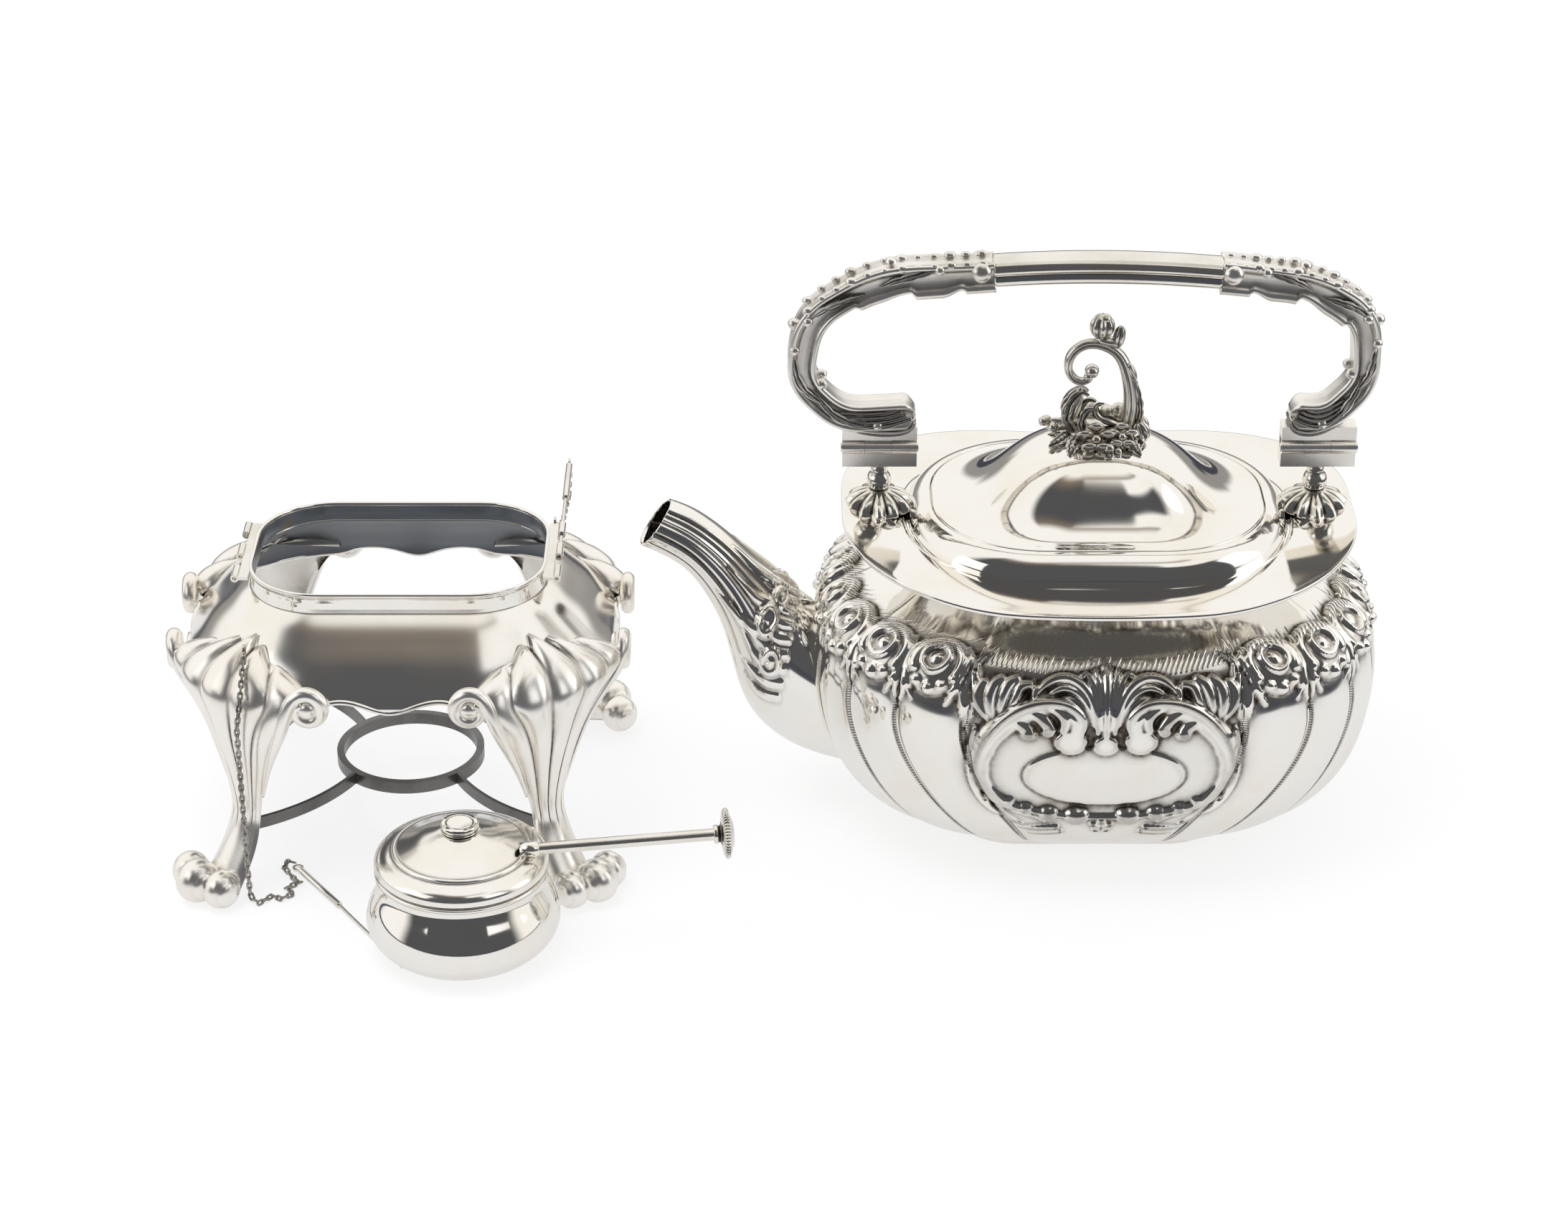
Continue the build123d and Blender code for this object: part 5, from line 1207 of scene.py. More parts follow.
class OBJECT_OT_kettle_collar(bpy.types.Operator):
    """Neck, swept tray, mouth moulding and domed lid of the kettle"""
    bl_idname = "object.kettle_collar"
    bl_label = "Kettle collar and lid"

    def execute(self, context):
        turns = even_turns(0, 2 * pi, 361)[:-1]
        outer, inner = [], []
        cove = curve_through(((120.2, 86.2, 61.9), (122.4, 83.6, 60.3), (125.2, 81.4, 59.4),
                              (127.8, 80.4, 59.1)), 22)
        lip = curve_through(((127.9, 81.0, 59.7), (128.5, 81.2, 59.9), (129.1, 80.8, 59.6),
                             (131.5, 80.7, 59.6), (134.5, 81.6, 60.9), (137.0, 83.4, 63.2)), 26)
        for height, half_x, half_y in (*cove, *lip):
            for rows, wall in ((outer, 0.0), (inner, SHEET)):
                line = oval(half_x - wall, half_y - wall, turns)
                lifted = rise(height, 124.0, 137.0) * (saddle_height(line[:, 0]) - TRAY)
                rows.append(level(line, height + lifted - 0.4 * rise(height, 130.0, 137.0)))
        neck = kettle_ring("neck", outer + inner[::-1])
        set_down(neck, "kettle", "polished_silver", "polished", "neck_band")

        edge, mouth = rounded_plan(109.0, 88.5, 74.0, *FINE_PLAN), rounded_plan(*(MOUTH - 4.0), *FINE_PLAN)
        top = ((0.0, 1.3), (0.3, 1.3), (0.55, 1.35), (0.75, 1.5), (0.88, 1.75), (0.95, 1.95), (0.985, 2.0))
        low = ((0.985, 0.05), (0.95, 0.1), (0.88, 0.1), (0.75, 0.0), (0.5, 0.0), (0.25, 0.0), (0.0, 0.0))
        rounding = [(0.992 + 0.008 * sin(turn), 1.02 + 0.98 * cos(turn))
                    for turn in np.linspace(0.3, pi - 0.3, 7)]
        rows = []
        for share, up in (*curve_through(top, 26), *rounding, *curve_through(low, 14)):
            plan = mouth + (edge - mouth) * share
            rows.append(level(plan, saddle_height(plan[:, 0]) + up))
        set_down(kettle_ring("swept_tray", rows), "kettle", "polished_silver", "polished", "tray")

        roll = curve_through(((9.2, 0.0), (10.0, 3.0), (10.0, 5.4), (8.9, 8.6), (6.6, 11.6), (3.4, 13.8),
                              (1.6, 14.3), (0.7, 14.45)), 44)
        seat = ((0.3, 14.4), (0.0, 14.1), (-0.05, 13.6), (-0.05, 12.4), (-0.3, 12.25), (-4.0, 12.25),
                (-4.0, 11.9), (-4.0, 0.0))
        rows = [level(rounded_plan(*(MOUTH + out), *FINE_PLAN), TRAY + up) for out, up in (*roll, *seat)]
        set_down(kettle_ring("mouth_moulding", rows), "kettle", "polished_silver", "polished", "mouth_ring")

        levels = ((70.4, 52.9, 147.4), (70.5, 53.0, 147.9), (70.5, 53.0, 149.0), (70.2, 52.7, 149.4),
                  (69.6, 52.2, 149.5))
        dome = ((66.5, 49.6, 149.65), (62.5, 46.8, 150.2), (57.0, 43.6, 152.0), (51.0, 39.6, 155.4),
                (45.0, 35.4, 160.2), (38.5, 30.6, 166.0), (31.0, 24.8, 171.4), (22.0, 18.0, 175.2),
                (11.0, 10.0, 177.1), (0.0, 0.0, 177.5))
        under = [(x - 1.5, y - 1.5, z - SHEET) for x, y, z in curve_through(dome[1:-1], 40)][::-1]
        rows = []
        for x, y, z in (*levels, *curve_through(dome, 90), (0.0, 0.0, 176.2), *under, (62.0, 46.0, 147.4)):
            if min(x, y) < 0.02:
                rows.append(np.zeros((len(edge), 3)) + (0, 0, z))
            else:
                corner = y * (0.86 + 0.06 * rise(-y, -52.0, -40.0))
                rows.append(level(rounded_plan(x, y, corner, *FINE_PLAN), z))
        set_down(kettle_ring("domed_lid", rows), "lid", "polished_silver", "polished", "lid")
        dress_node("finial_nut", "worn")
        return {"FINISHED"}


SPOUT = (
    ((16.0, 22.0), (12.0, 88.0), 0.00), ((-5.0, 29.5), (2.0, 98.0), 0.07),
    ((-22.0, 44.0), (-7.0, 106.0), 0.28), ((-30.0, 62.0), (-14.0, 112.0), 0.50),
    ((-36.0, 86.0), (-23.0, 120.0), 0.68),
    ((-43.5, 103.3), (-34.0, 131.0), 0.79), ((-54.0, 117.0), (-47.0, 141.0), 0.86),
    ((-71.0, 126.5), (-57.5, 146.0), 1.00),
)
HINGE_AXIS = 172.5
HINGE_BACK = 3.0
# Top of the posts, under the hinge blocks, and their distance from the kettle's middle
POST_TOP = 163.34
POST_AT = 93.0
ARM_LINES = {
    "left": ((-78.0, 15.0), (-110.0, 13.0), (-127.5, 30.5), (-122.5, 59.5), (-97.0, 75.67), (-46.0, 79.5)),
    "right": ((80.0, 15.0), (96.0, 14.0), (111.5, 30.5), (109.5, 59.5), (86.0, 74.85), (48.0, 78.5)),
}


def blob(centre, radii, tilt=0.0, ribs=0, rib=0.0, lean=0.0):
    """Rows of an oval lump, tilted in front view, with ribs from end to end."""
    turns = full_turn(8 * max(ribs, 3))
    wave = 1 + rib * np.cos(ribs * turns)
    rows = []
    for up in np.linspace(-pi / 2, pi / 2, 15):
        x, y = radii[0] * cos(up) * np.cos(turns) * wave, radii[1] * cos(up) * np.sin(turns) * wave
        z = np.full(len(turns), radii[2] * sin(up))
        y, z = y * cos(lean) - z * sin(lean), y * sin(lean) + z * cos(lean)
        x, z = x * cos(tilt) + z * sin(tilt), z * cos(tilt) - x * sin(tilt)
        rows.append(np.column_stack([x, y, z]) + centre)
    return np.array(rows)


def leaf_strip(spots, up, width, thick, notches=5):
    """Rows of a tapering leaf along a line: a midrib, cupped sides and a notched edge."""
    path = curve_through(spots, 34)
    share = np.linspace(0, 1, 34)
    form = np.sin(pi * np.clip(share * 0.93 + 0.07, 0, 1)) ** 0.6 * (1 - 0.25 * share)
    notch = 1 - 0.26 * np.abs(np.sin(pi * notches * share)) ** 6
    across, over = frames_along(path, up)
    turns = full_turn(28)
    flat = bowed(np.cos(turns), 0.8)
    midrib, cups = np.exp(-(flat / 0.16) ** 2), np.exp(-((np.abs(flat) - 0.45) / 0.16) ** 2)
    tall = np.sin(turns) * (0.55 + 0.9 * midrib - 0.35 * cups)
    half, deep = (width * form * notch)[:, None, None], (thick * (0.35 + 0.65 * form))[:, None, None]
    rows = path[:, None] + flat[:, None] * half * across[:, None] + tall[:, None] * deep * over[:, None]
    return capped(rows, path[[0, -1]])


def flower(centre, size, lean):
    """Lumps of a small open flower whose face leans up to the front."""
    rows = [blob(centre, (0.26 * size, 0.26 * size, 0.26 * size))]
    for turn in full_turn(5) + 0.3:
        aside, above = cos(turn) * size * 0.58, sin(turn) * size * 0.58
        spot = np.array(centre) + (aside, above * sin(lean) * 0.9 + 0.08 * size, above * cos(lean))
        rows.append(blob(spot, (0.42 * size, 0.22 * size, 0.40 * size), 0, 4, 0.06, lean))
    return rows


def built(name, parts, origin=(0, 0, 0)):
    """Object made of several closed row sets, all moved by an origin."""
    return joined(name, [wrap_grid(f"{name}_{number}", rows + origin) for number, rows in enumerate(parts)])


def both_halves(half):
    """Closed section from the half of it on one side of its middle line."""
    line = np.array([*half, *((out, -deep) for out, deep in half[-2:0:-1])])
    return np.concatenate([line, line[:1]])


class OBJECT_OT_kettle_finial(bpy.types.Operator):
    """Cast finial: open scroll with buds over a flower spray"""
    bl_idname = "object.kettle_finial"
    bl_label = "Finial"

    def execute(self, context):
        top = kettle_at + (0.0, 0.0, 177.5)
        line = curve_through(((8, 0, -1), (11.0, 0, 5), (12.6, 0, 13), (12.2, 0, 21), (10.2, 0, 30),
                              (6.4, 0, 37.5), (0, 0, 41.5), (-6.5, 0, 42.0), (-11.8, 0, 38.8),
                              (-14.2, 0, 33.2), (-13.0, 0, 27.8), (-9.0, 0, 25.0), (-5.4, 0, 26.2),
                              (-5.0, 0, 29.6)), 110)
        thick = np.interp(np.linspace(0, 1, 110), (0, 0.15, 0.35, 0.5, 0.75, 0.9, 1),
                          (4.4, 3.9, 3.3, 2.6, 2.3, 2.0, 1.7))
        turns = full_turn(40)
        swell = 1 - 0.20 * np.exp(-(np.sin(turns) / 0.30) ** 2) * (np.abs(np.cos(turns)) > 0.5)
        swell = swell - 0.22 * np.exp(-(np.cos(turns) / 0.22) ** 2)
        section = np.stack([0.95 * np.cos(turns) * swell, np.sin(turns) * swell], axis=1)
        scroll = swept("finial_scroll", line + top, thick, section, up=(0, 1, 0))
        sprigs = [blob((-4.2, 0, 29.6), (3.1, 3.4, 3.1)), blob((-5.8, -1.6, 27.8), (1.9, 2.0, 1.9)),
                  blob((12.6, -2.4, 30.0), (1.5, 1.5, 4.6), -0.35, 5, 0.08),
                  blob((14.8, -1.6, 20.0), (1.3, 1.6, 5.6), -0.1, 5, 0.08),
                  leaf_strip(((11, -1, 2), (16.2, -2, 9), (16.0, -2, 18), (14.6, -1, 26)), (0, -1, 0),
                             1.9, 1.6),
                  leaf_strip(((9.5, -2.5, 6), (3.5, -4, 8.5), (-1.5, -4, 11.5), (-1.8, -4, 15.5),
                              (1.2, -4, 16.4)), (0, -1, 0), 2.4, 1.8, 3)]
        buds = [blob((-0.6, 0, 50.0), (4.9, 4.9, 5.7), 0.05, 8, 0.10),
                blob((0.4, -1.2, 54.2), (2.6, 2.6, 1.9)),
                blob((6.6, -0.6, 45.6), (2.4, 2.4, 5.2), 0.12, 6, 0.12),
                blob((2.2, 0, 43.4), (5.6, 3.2, 2.2), 0.25)]
        spray = [blob((0.5, 0, 2.0), (14.5, 11.5, 4.6), 0, 7, 0.03)]
        for y in (1.0, -1.0):
            spray += flower((-2.4, y * 13.2, 4.2), 8.6, -0.75 * y)
            spray += flower((8.6, y * 11.6, 4.6), 7.4, -0.75 * y)
            spray += [blob((3.0, y * 16.2, 1.4), (2.2, 2.2, 2.2)),
                      blob((6.8, y * 15.4, -0.4), (1.8, 1.8, 1.8))]
            for up, width, tall, notches, spots in (
                ((0, y, 1.5), 3.6, 1.3, 5, ((-9, 7, 3.2), (-12, 12, 0.8), (-13.6, 16.5, -2.6))),
                ((0, y, 1.5), 4.0, 1.3, 5, ((2, 9, 1.6), (2.6, 14.5, -0.6), (3.6, 18.8, -3.2))),
                ((0, y, 1.5), 3.6, 1.3, 5, ((10, 7, 2.4), (13.5, 12, 0.2), (16.6, 15.5, -2.6))),
                ((0, y, 1.5), 3.2, 1.2, 5, ((-13, 3, 2.6), (-18.5, 7, 0.2), (-22.0, 9.0, -1.2))),
                ((-1, y, 0), 3.0, 1.9, 4, ((-9, 2.5, 2), (-14.5, 4, 9), (-12.5, 3, 17), (-8.0, 2, 20.5),
                                           (-5.4, 2, 19))),
                ((-0.3, y, 0), 2.4, 1.6, 3, ((-6, 4, 2), (-8, 5.5, 9), (-5, 5.0, 14), (-1.5, 4.5, 13.6))),
            ):
                spray.append(leaf_strip(np.array(spots) * (1, y, 1), up, width, tall, notches))
            spray.append(blob((17.4, y * 3.2, 3.2), (3.5, 3.3, 4.8), -0.35, 7, 0.10))
        spray += [blob((-22.5, 2.5, 5.6), (2.4, 2.4, 2.4)), blob((-24.0, -1.0, 6.8), (2.1, 2.1, 2.1)),
                  blob((-20.0, -3.0, 4.8), (2.3, 2.3, 2.3)), blob((-15.0, 0.0, 6.5), (6.5, 1.6, 1.5), 0.1),
                  blob((-10.5, 0.0, 14.0), (2.4, 2.6, 8.5), 0.25, 5, 0.08)]
        scroll = joined("finial_scroll", [scroll, built("finial_sprigs", sprigs, top)])
        buds, spray = built("finial_buds", buds, top), built("finial_spray", spray, top)
        for piece, strength, node in ((scroll, 1.3, "finial"), (buds, 1.3, "finial_bud"),
                                      (spray, 1.4, "finial_leaves")):
            mark_hollows(piece, strength, 0.7)
            set_down(piece, "lid", "cast_silver", "cast", node)
        return {"FINISHED"}


def arm_path(name, count):
    """Smooth centre line of one arm in front view."""
    line = even(soft_corners(ARM_LINES[name], 16.0, 12), count)
    for _ in range(10):
        line[1:-1] = 0.5 * line[1:-1] + 0.25 * (line[2:] + line[:-2])
    return line


class OBJECT_OT_kettle_spout_and_handle(bpy.types.Operator):
    """Spout, posts, hinges, scrolled arms and grip of the kettle"""
    bl_idname = "object.kettle_spout_and_handle"
    bl_label = "Kettle spout and handle"

    def execute(self, context):
        self.spout()
        self.posts()
        self.arms()
        self.grip()
        return {"FINISHED"}

    def spout(self):
        levels = [(*low, *high, 50.0 - 28.0 * narrowing) for low, high, narrowing in SPOUT]
        levels = curve_through(levels, 172)
        run = run_of((levels[:, 0:2] + levels[:, 2:4]) / 2)
        turns = full_turn(260)
        side = np.abs(np.mod(turns + pi, 2 * pi) - pi)
        flutes = sum(deep * np.exp(-((side - spot) / reach) ** 2) for spot, deep, reach in (
            (0.62, 0.9, 0.075), (1.10, 1.3, 0.085), (1.62, 1.1, 0.08), (2.15, 0.8, 0.08), (0.86, 0.9, 0.14),
            (1.36, 0.6, 0.15)))
        outer, inner, across = [], [], []
        for (low_x, low_z, high_x, high_z, width), at in zip(levels, run):
            centre = np.array(((low_x + high_x) / 2 - BODY_HALF[0], 0.0, (low_z + high_z) / 2))
            span = np.array((high_x - low_x, 0.0, high_z - low_z)) / 2
            tall = np.linalg.norm(span)
            dip = flutes * rise(at, 26, 60) * (1 - 0.5 * rise(at, 110, 150))
            for rows, wall in ((outer, dip), (inner, SHEET)):
                ring = centre + np.outer(np.cos(turns) * (1 - wall / tall), span)
                ring[:, 1] += np.sin(turns) * (width / 2 - wall)
                rows.append(ring)
            across.append(side * (tall + width / 2) / 2)
        outer, across = np.array(outer), np.array(across)
        along = np.broadcast_to(run[:, None], across.shape)
        field = np.zeros(across.shape)
        for px, py, size in ((24.0, 46.0, 1.0), (38.0, 37.0, 0.85), (12.5, 41.0, 0.8)):
            s, v = (across - px) / size, (along - py) / size
            field = np.maximum(field, size * 3.0 * np.sqrt(np.clip(1 - (np.hypot(s, v) / 8.5) ** 2, 0, 1)))
            ring = [(5.2 * cos(turn), 5.2 * sin(turn), 1.5, 4.2 * size)
                    for turn in np.linspace(0, 2 * pi, 26)]
            stroke(field, s, v, ring, 60)
            bead(field, s, v, 0, 0, 3.0, 3.0, 3.4 * size)
        for number in range(9):
            px = 3.0 + 6.0 * number
            stroke(field, across, along, ((px, 30, 2.2, 1.6), (px + 1.5, 37, 2.6, 2.2),
                                          (px + 0.5, 44, 1.5, 1.6),
                                          (px - 0.5, 49 + 6 * (number % 2), 0.6, 0.6)))
        for px in (6.0, 17.0, 29.0):
            stroke(field, across, along, ((px, 44, 2.0, 1.6), (px + 1.0, 56, 2.4, 2.2), (px, 68, 1.6, 1.6),
                                          (px - 1.0, 80, 0.6, 0.5)))
        field = soften(field, 2)
        # Painted shade in the recesses of the chasing, fading out towards the tip.
        deep = np.clip(0.9 * (spread(field, 9) - field), 0, 1) * rise(-along, -95, -60)
        out = outward(outer, outer - outer.mean(axis=1, keepdims=True))
        outer = outer + out * (0.8 * field)[..., None]
        lip = [outer[-1] * (1 - share) + inner[-1] * share + (outer[-1] - outer[-3]) * 0.35 * sin(pi * share)
               for share in (0.2, 0.5, 0.8)]
        rows = np.concatenate([outer, lip, inner[::-1], outer[:1]])
        spout = wrap_grid("fluted_spout", rows + kettle_at)
        tarnish_and_shade_floor = np.zeros((len(rows) - 1, len(turns)))
        tarnish_and_shade_floor[:len(outer)] = deep
        # The inner wall is darkened all over as painted shade inside the spout.
        tarnish_and_shade_floor[len(outer) + 2:] = 0.85
        mark_hollows(spout, 1.1, 1.2, tarnish_and_shade_floor.ravel() if len(spout.data.vertices) == tarnish_and_shade_floor.size else 0.0)
        set_down(spout, "kettle", "polished_silver", "chased", "spout")

    def posts(self):
        base = saddle_height(POST_AT) + 1.6
        leaf = curve_through([(out, base + up, ripple) for out, up, ripple in (
            (13.6, -0.6, 0.5), (14.2, 0.6, 1.1), (13.6, 2.0, 1.3), (11.6, 4.4, 1.2), (8.6, 6.2, 0.9),
            (6.0, 7.2, 0.4), (4.4, 7.7, 0.0))], 44)
        ball = [(5.3 * cos(turn), base + 12.2 + 5.3 * sin(turn)) for turn in np.linspace(-0.92, 0.80, 14)]
        outline = [(0, base - 1.5), (11.5, base - 1.5), *leaf, *ball, (3.6, base + 17.0), (3.6, POST_TOP),
                   (0, POST_TOP)]
        for name, side in SIDES.items():
            post = turned(f"calyx_post_{name}", outline, kettle_at + (POST_AT * side, HINGE_BACK, 0),
                          sides=144, ripples=12)
            mark_hollows(post, 1.5, 1.0)
            set_down(post, "kettle", "cast_silver", "worn", f"post_{name}")
            for node in ("lower_leaf", "upper_leaf", "hinge_pin"):
                dress_node(f"{node}_{name}", "satin")

    def front(self, line):
        """Points of the handle's front view as points in space."""
        spots = np.insert(line, 1, 0.0, axis=1)
        return spots + (0.0, HINGE_BACK, HINGE_AXIS) + kettle_at

    def arms(self):
        section = even(both_halves((
            (5.2, 0.0), (5.0, 3.2), (5.3, 5.2), (6.0, 6.4), (5.4, 7.4), (4.2, 7.5), (3.2, 6.8), (2.6, 5.7),
            (0.8, 5.2), (-1.6, 5.2), (-3.0, 5.7), (-3.6, 6.9), (-4.8, 7.4), (-5.9, 6.6), (-5.7, 4.0),
            (-5.5, 0.0))), 73)[:-1]
        for name, side in SIDES.items():
            line = arm_path(name, 150)
            run = run_of(line)
            out = quarter(unit(np.gradient(line, axis=0))) * side
            left = run[-1] - run
            blunt = 1 - 0.75 * np.clip(1 - run / 5.0, 0, 1) ** 2
            steps = (1.9 * rise(-left, -13.5, -12.5)
                     + 2.9 * (rise(-left, -34.5, -33.5) - rise(-left, -22, -13.5))
                     + 2.2 * (rise(-left, -62, -60) - rise(-left, -50, -35)))
            swell = 1 + 0.10 * np.sin(run / 9.0) * rise(run, 10, 40)
            rows = []
            for spot, way, inner, bulge, end in zip(self.front(line), out, steps, swell, blunt):
                reach = section[:, 0] * np.where(section[:, 0] < 0, 1 + inner / 5.6, bulge) * end
                deep = section[:, 1] * 0.96 * (0.4 + 0.6 * end)
                rows.append(spot + np.column_stack([reach * way[0], deep, reach * way[1]]))
            parts = [capped(rows)]

            def on(share, reach, y):
                at = [np.interp(share * run[-1], run, line[:, k] + out[:, k] * reach) for k in (0, 1)]
                return kettle_at + (at[0], HINGE_BACK + y, at[1] + HINGE_AXIS)

            for y in (-1, 1):
                for start, end, reach in ((0.10, 0.30, 3.8), (0.42, 0.24, 4.6), (0.50, 0.66, 3.4),
                                          (0.86, 0.70, 4.4)):
                    spots = [on(share, reach - 5.6 * k / 4, y * (6.6 - 0.5 * abs(k - 2)))
                             for k, share in enumerate(np.linspace(start, end, 5))]
                    parts.append(leaf_strip(spots, (0, y, 0), 2.3, 1.7, 4))
                    parts.append(blob(on(start, reach - 0.6, y * 6.6), (2.2, 1.9, 2.2)))
                for number, share in enumerate(np.linspace(0.52, 0.97, 12)):
                    size = 1.5 + 0.5 * (number % 3 == 0)
                    parts.append(blob(on(share, 5.3, y * 5.4), (size * 1.3, size, size)))
                parts.append(blob(on(0.965, 1.6, y * 6.6), (4.4, 3.4, 4.4)))
                parts.append(blob(on(0.30, -5.8, y * 5.0), (2.6, 2.2, 2.4)))
                for number in range(4):
                    spots = (on(0.01 + 0.012 * number, 1.0 - 1.6 * number, y * 5.6),
                             on(0.09, 3.4 - 1.9 * number, y * (7.0 - 0.5 * number)),
                             on(0.17 + 0.01 * number, 3.2 - 1.5 * number, y * 6.0))
                    parts.append(leaf_strip(spots, (0, y, 0.3), 1.6, 1.5, 2))
            for share, reach in ((0.47, 6.6), (0.74, 6.4)):
                parts.append(blob(on(share, reach, 0.0), (2.6, 2.6, 2.6)))
            for y in (-6.0, -3.0, 0.0, 3.0, 6.0):
                spots = (on(0.15, 5.0, y), on(0.07, 6.6, y * 1.05), on(0.015, 5.4, y),
                         on(0.005, 2.6, y * 0.9))
                parts.append(leaf_strip(spots, (0, 0.05, 1), 1.8, 1.6, 1))
            arm = built(f"scrolled_arm_{name}", parts)
            mark_hollows(arm, 1.3, 1.0)
            set_down(arm, "handle", "cast_silver", "arm", f"handle_arm_{name}")

    def grip(self):
        share = np.linspace(-1, 1, 90)
        line = np.column_stack([1.0 + 47.5 * share, 79.0 + 2.0 * (1 - share ** 2) - 0.5 * share])
        out = -quarter(unit(np.gradient(line, axis=0)))
        section = soft_corners(both_halves((
            (6.1, 0.0), (5.9, 2.6), (5.1, 5.0), (3.6, 6.8), (1.8, 7.5), (0.4, 7.4), (-0.6, 6.7), (-0.9, 6.0),
            (-1.6, 6.1), (-3.6, 6.3), (-5.2, 6.0), (-6.0, 5.0), (-6.1, 2.5), (-6.1, 0.0))), 0.5, 2)[:-1]
        rows = [spot + np.column_stack([section[:, 0] * way[0], section[:, 1], section[:, 0] * way[1]])
                for spot, way in zip(self.front(line), out)]
        grip = wrap_grid("arched_grip", capped(rows))
        mark_hollows(grip, 1.4, 0.8)
        set_down(grip, "handle", "polished_silver", "worn", "handle_grip")


# Stage

# Focal length and width of the whole picture, in its own pixels
FOCAL, PICTURE_WIDTH = 5400, 2186
SENSOR = 36.0


class OBJECT_OT_kettle_stage(bpy.types.Operator):
    """White table, studio surroundings, a soft lamp, three cards of light and the camera"""
    bl_idname = "object.kettle_stage"
    bl_label = "Stage"

    def execute(self, context):
        bpy.ops.object.select_all(action="DESELECT")
        bpy.ops.mesh.primitive_plane_add(size=6, location=(0, 0, -0.0001))
        table = context.object
        table.name = table.data.name = "table"
        bpy.ops.object.transform_apply(location=True, rotation=True, scale=True)
        material, tree, shader = new_material("White table")
        feed(tree, shader, {"Base Color": (0.95, 0.95, 0.955), "Roughness": 0.6, "Specular IOR Level": 0.1})
        glow = add_node(tree, "ShaderNodeEmission", {"Color": (1, 1, 1), "Strength": 1.04})
        dark = add_node(tree, "ShaderNodeEmission", {"Color": (0.055, 0.06, 0.075)})
        light = add_node(tree, "ShaderNodeLightPath")
        spots = add_node(tree, "ShaderNodeTexCoord").outputs["Object"]
        x, y, _ = add_node(tree, "ShaderNodeSeparateXYZ", {0: spots}).outputs
        front = step_node(tree, y, -0.43, -0.50)
        side = step_node(tree, math_node(tree, "ABSOLUTE", x), 0.62, 0.75)
        back = step_node(tree, y, 0.60, 0.80)
        beyond = math_node(tree, "MAXIMUM", front, math_node(tree, "MAXIMUM", side, back))
        beyond = math_node(tree, "MAXIMUM", beyond, 0.20)
        gone = math_node(tree, "MULTIPLY", beyond, light.outputs["Is Glossy Ray"])
        pale = add_node(tree, "ShaderNodeMixShader", {0: 0.72, 1: shader.outputs[0], 2: glow.outputs[0]})
        end = add_node(tree, "ShaderNodeMixShader", {0: gone, 1: pale.outputs[0], 2: dark.outputs[0]})
        feed(tree, tree.nodes["Material Output"], {0: end.outputs[0]})
        table.data.materials.append(material)
        self.surroundings(context)
        self.lights(context)
        bpy.ops.object.camera_add(location=(0.0023, -1.4492, 0.8796), rotation=(radians(62.2), 0, 0))
        camera = context.object
        camera.name = "camera"
        camera.data.lens = SENSOR * FOCAL / PICTURE_WIDTH
        camera.data.sensor_width = SENSOR
        camera.data.sensor_fit = "HORIZONTAL"
        context.scene.camera = camera
        context.scene.view_settings.view_transform = "Standard"
        return {"FINISHED"}

    def lights(self, context):
        """A soft lamp above and upright cards of light; one card lights the stand and the burner only."""
        bpy.ops.object.light_add(type="AREA", location=(-0.5, -0.3, 1.5))
        lamp = context.object
        lamp.name = "softbox"
        lamp.data.shape = "DISK"
        lamp.data.size = 1.0
        lamp.data.energy = 6.0
        lamp.rotation_euler = (radians(-12), radians(-18), 0)
        lamp.visible_glossy = False
        only_stand = bpy.data.collections.new("lit_by_stand_card")
        for piece in context.scene.objects:
            if piece.name in stand_side:
                only_stand.objects.link(piece)
        height = 0.42
        for name, start, end in (("left_card", (-0.45, -0.45), (-0.60, -0.15)),
                                 ("right_card", (0.60, 0.03), (0.56, -0.19)),
                                 ("stand_card", (0.12, -0.46), (0.33, -0.32))):
            start, end = np.array(start), np.array(end)
            middle = (start + end) / 2
            bpy.ops.object.light_add(type="AREA", location=(*middle, height))
            card = context.object
            card.name = name
            card.data.shape = "RECTANGLE"
            card.data.size = float(np.hypot(*(end - start)))
            card.data.size_y = height
            card.data.energy = card.data.size * height * pi
            card.rotation_euler = (radians(90), 0, atan2(middle[0], -middle[1]))
            card.visible_camera = False
            card.visible_diffuse = False
            if name == "stand_card":
                card.light_linking.receiver_collection = only_stand

    def surroundings(self, context):
        """White studio with a dark room behind the camera and one lit window in it."""
        world = context.scene.world or bpy.data.worlds.new("Studio")
        context.scene.world = world
        world.use_nodes = True
        tree = world.node_tree
        tree.nodes.clear()
        way = add_node(tree, "ShaderNodeTexCoord").outputs["Generated"]
        x, y, z = add_node(tree, "ShaderNodeSeparateXYZ", {0: way}).outputs
        turn = math_node(tree, "ARCTAN2", x, math_node(tree, "MULTIPLY", y, -1.0))
        around = math_node(tree, "ABSOLUTE", turn)
        up = math_node(tree, "ARCSINE", z)

        def between(value, low, high, soft):
            first = step_node(tree, value, radians(low - soft), radians(low + soft))
            last = step_node(tree, value, radians(high + soft), radians(high - soft))
            return math_node(tree, "MULTIPLY", first, last)

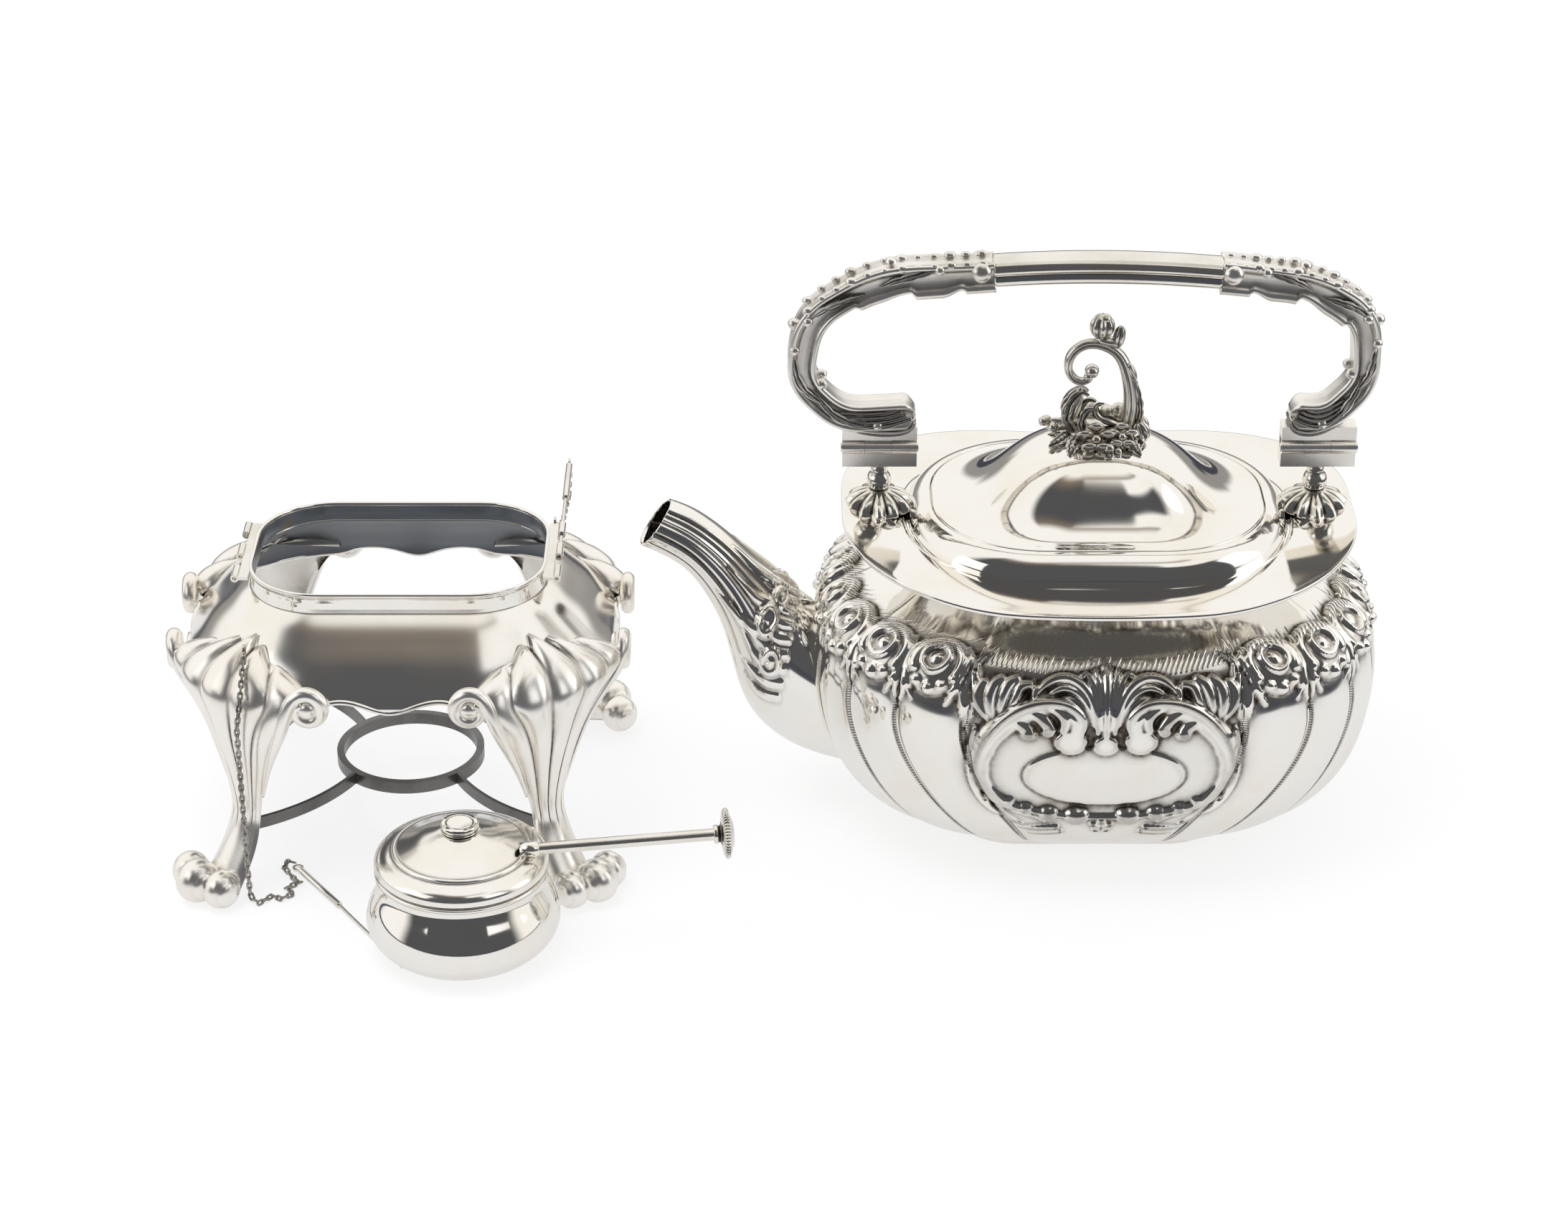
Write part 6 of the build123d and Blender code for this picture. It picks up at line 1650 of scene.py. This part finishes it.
        room = math_node(tree, "MULTIPLY", between(around, -90, 70, 8), between(up, -60, 74, 6))
        lit = math_node(tree, "MULTIPLY", between(turn, 12, 72, 3), between(up, 55, 70, 2))
        open_side = math_node(tree, "SUBTRACT", room, lit, clamp=True)
        warm = step_node(tree, up, radians(58), radians(74))
        floor_side = step_node(tree, up, radians(-4), radians(-16))
        dim = mix_colours(tree, warm, (0.082, 0.084, 0.09), (0.25, 0.20, 0.155))
        dim = mix_colours(tree, floor_side, dim, (0.095, 0.085, 0.075))
        far = math_node(tree, "MULTIPLY", between(around, 120, 240, 15), between(up, -20, 10, 4))
        studio = mix_colours(tree, far, (0.97, 0.96, 0.94), (0.30, 0.29, 0.28))
        seen = mix_colours(tree, open_side, studio, dim)
        light = add_node(tree, "ShaderNodeLightPath").outputs
        seen = mix_colours(tree, light["Is Glossy Ray"], (0.97, 0.97, 0.98), seen)
        seen = mix_colours(tree, light["Is Camera Ray"], seen, (1.0, 1.0, 1.0))
        glow = add_node(tree, "ShaderNodeBackground", {"Color": seen})
        add_node(tree, "ShaderNodeOutputWorld", {"Surface": glow.outputs[0]})


class VIEW3D_PT_kettle_set(bpy.types.Panel):
    bl_label = "Silver Kettle Set"
    bl_idname = "VIEW3D_PT_kettle_set"
    bl_space_type = "VIEW_3D"
    bl_region_type = "UI"
    bl_category = "Kettle Set"

    def draw(self, context):
        column = self.layout.column()
        for kind in (KettleFinish, StandSizes, KettleSizes):
            group = getattr(context.scene, GROUPS[kind])
            for title in kind.__annotations__:
                column.prop(group, title)
        for operator in OPERATORS:
            column.operator(operator.bl_idname)


GROUPS = {KettleFinish: "kettle_finish", StandSizes: "stand_sizes", KettleSizes: "kettle_sizes"}
OPERATORS = (OBJECT_OT_kettle_stand_body, OBJECT_OT_kettle_stand_legs, OBJECT_OT_kettle_stand_fittings,
             OBJECT_OT_kettle_burner, OBJECT_OT_kettle_body, OBJECT_OT_kettle_collar,
             OBJECT_OT_kettle_finial, OBJECT_OT_kettle_spout_and_handle, OBJECT_OT_kettle_stage)


def register():
    for kind, title in GROUPS.items():
        bpy.utils.register_class(kind)
        setattr(bpy.types.Scene, title, PointerProperty(type=kind))
    for kind in (*OPERATORS, VIEW3D_PT_kettle_set):
        bpy.utils.register_class(kind)


def unregister():
    for kind in (VIEW3D_PT_kettle_set, *reversed(OPERATORS)):
        bpy.utils.unregister_class(kind)
    for kind, title in GROUPS.items():
        delattr(bpy.types.Scene, title)
        bpy.utils.unregister_class(kind)


def main():
    register()
    make_finishes()
    for operator in OPERATORS:
        family, name = operator.bl_idname.split(".")
        getattr(getattr(bpy.ops, family), name)()


if __name__ == "__main__":
    main()
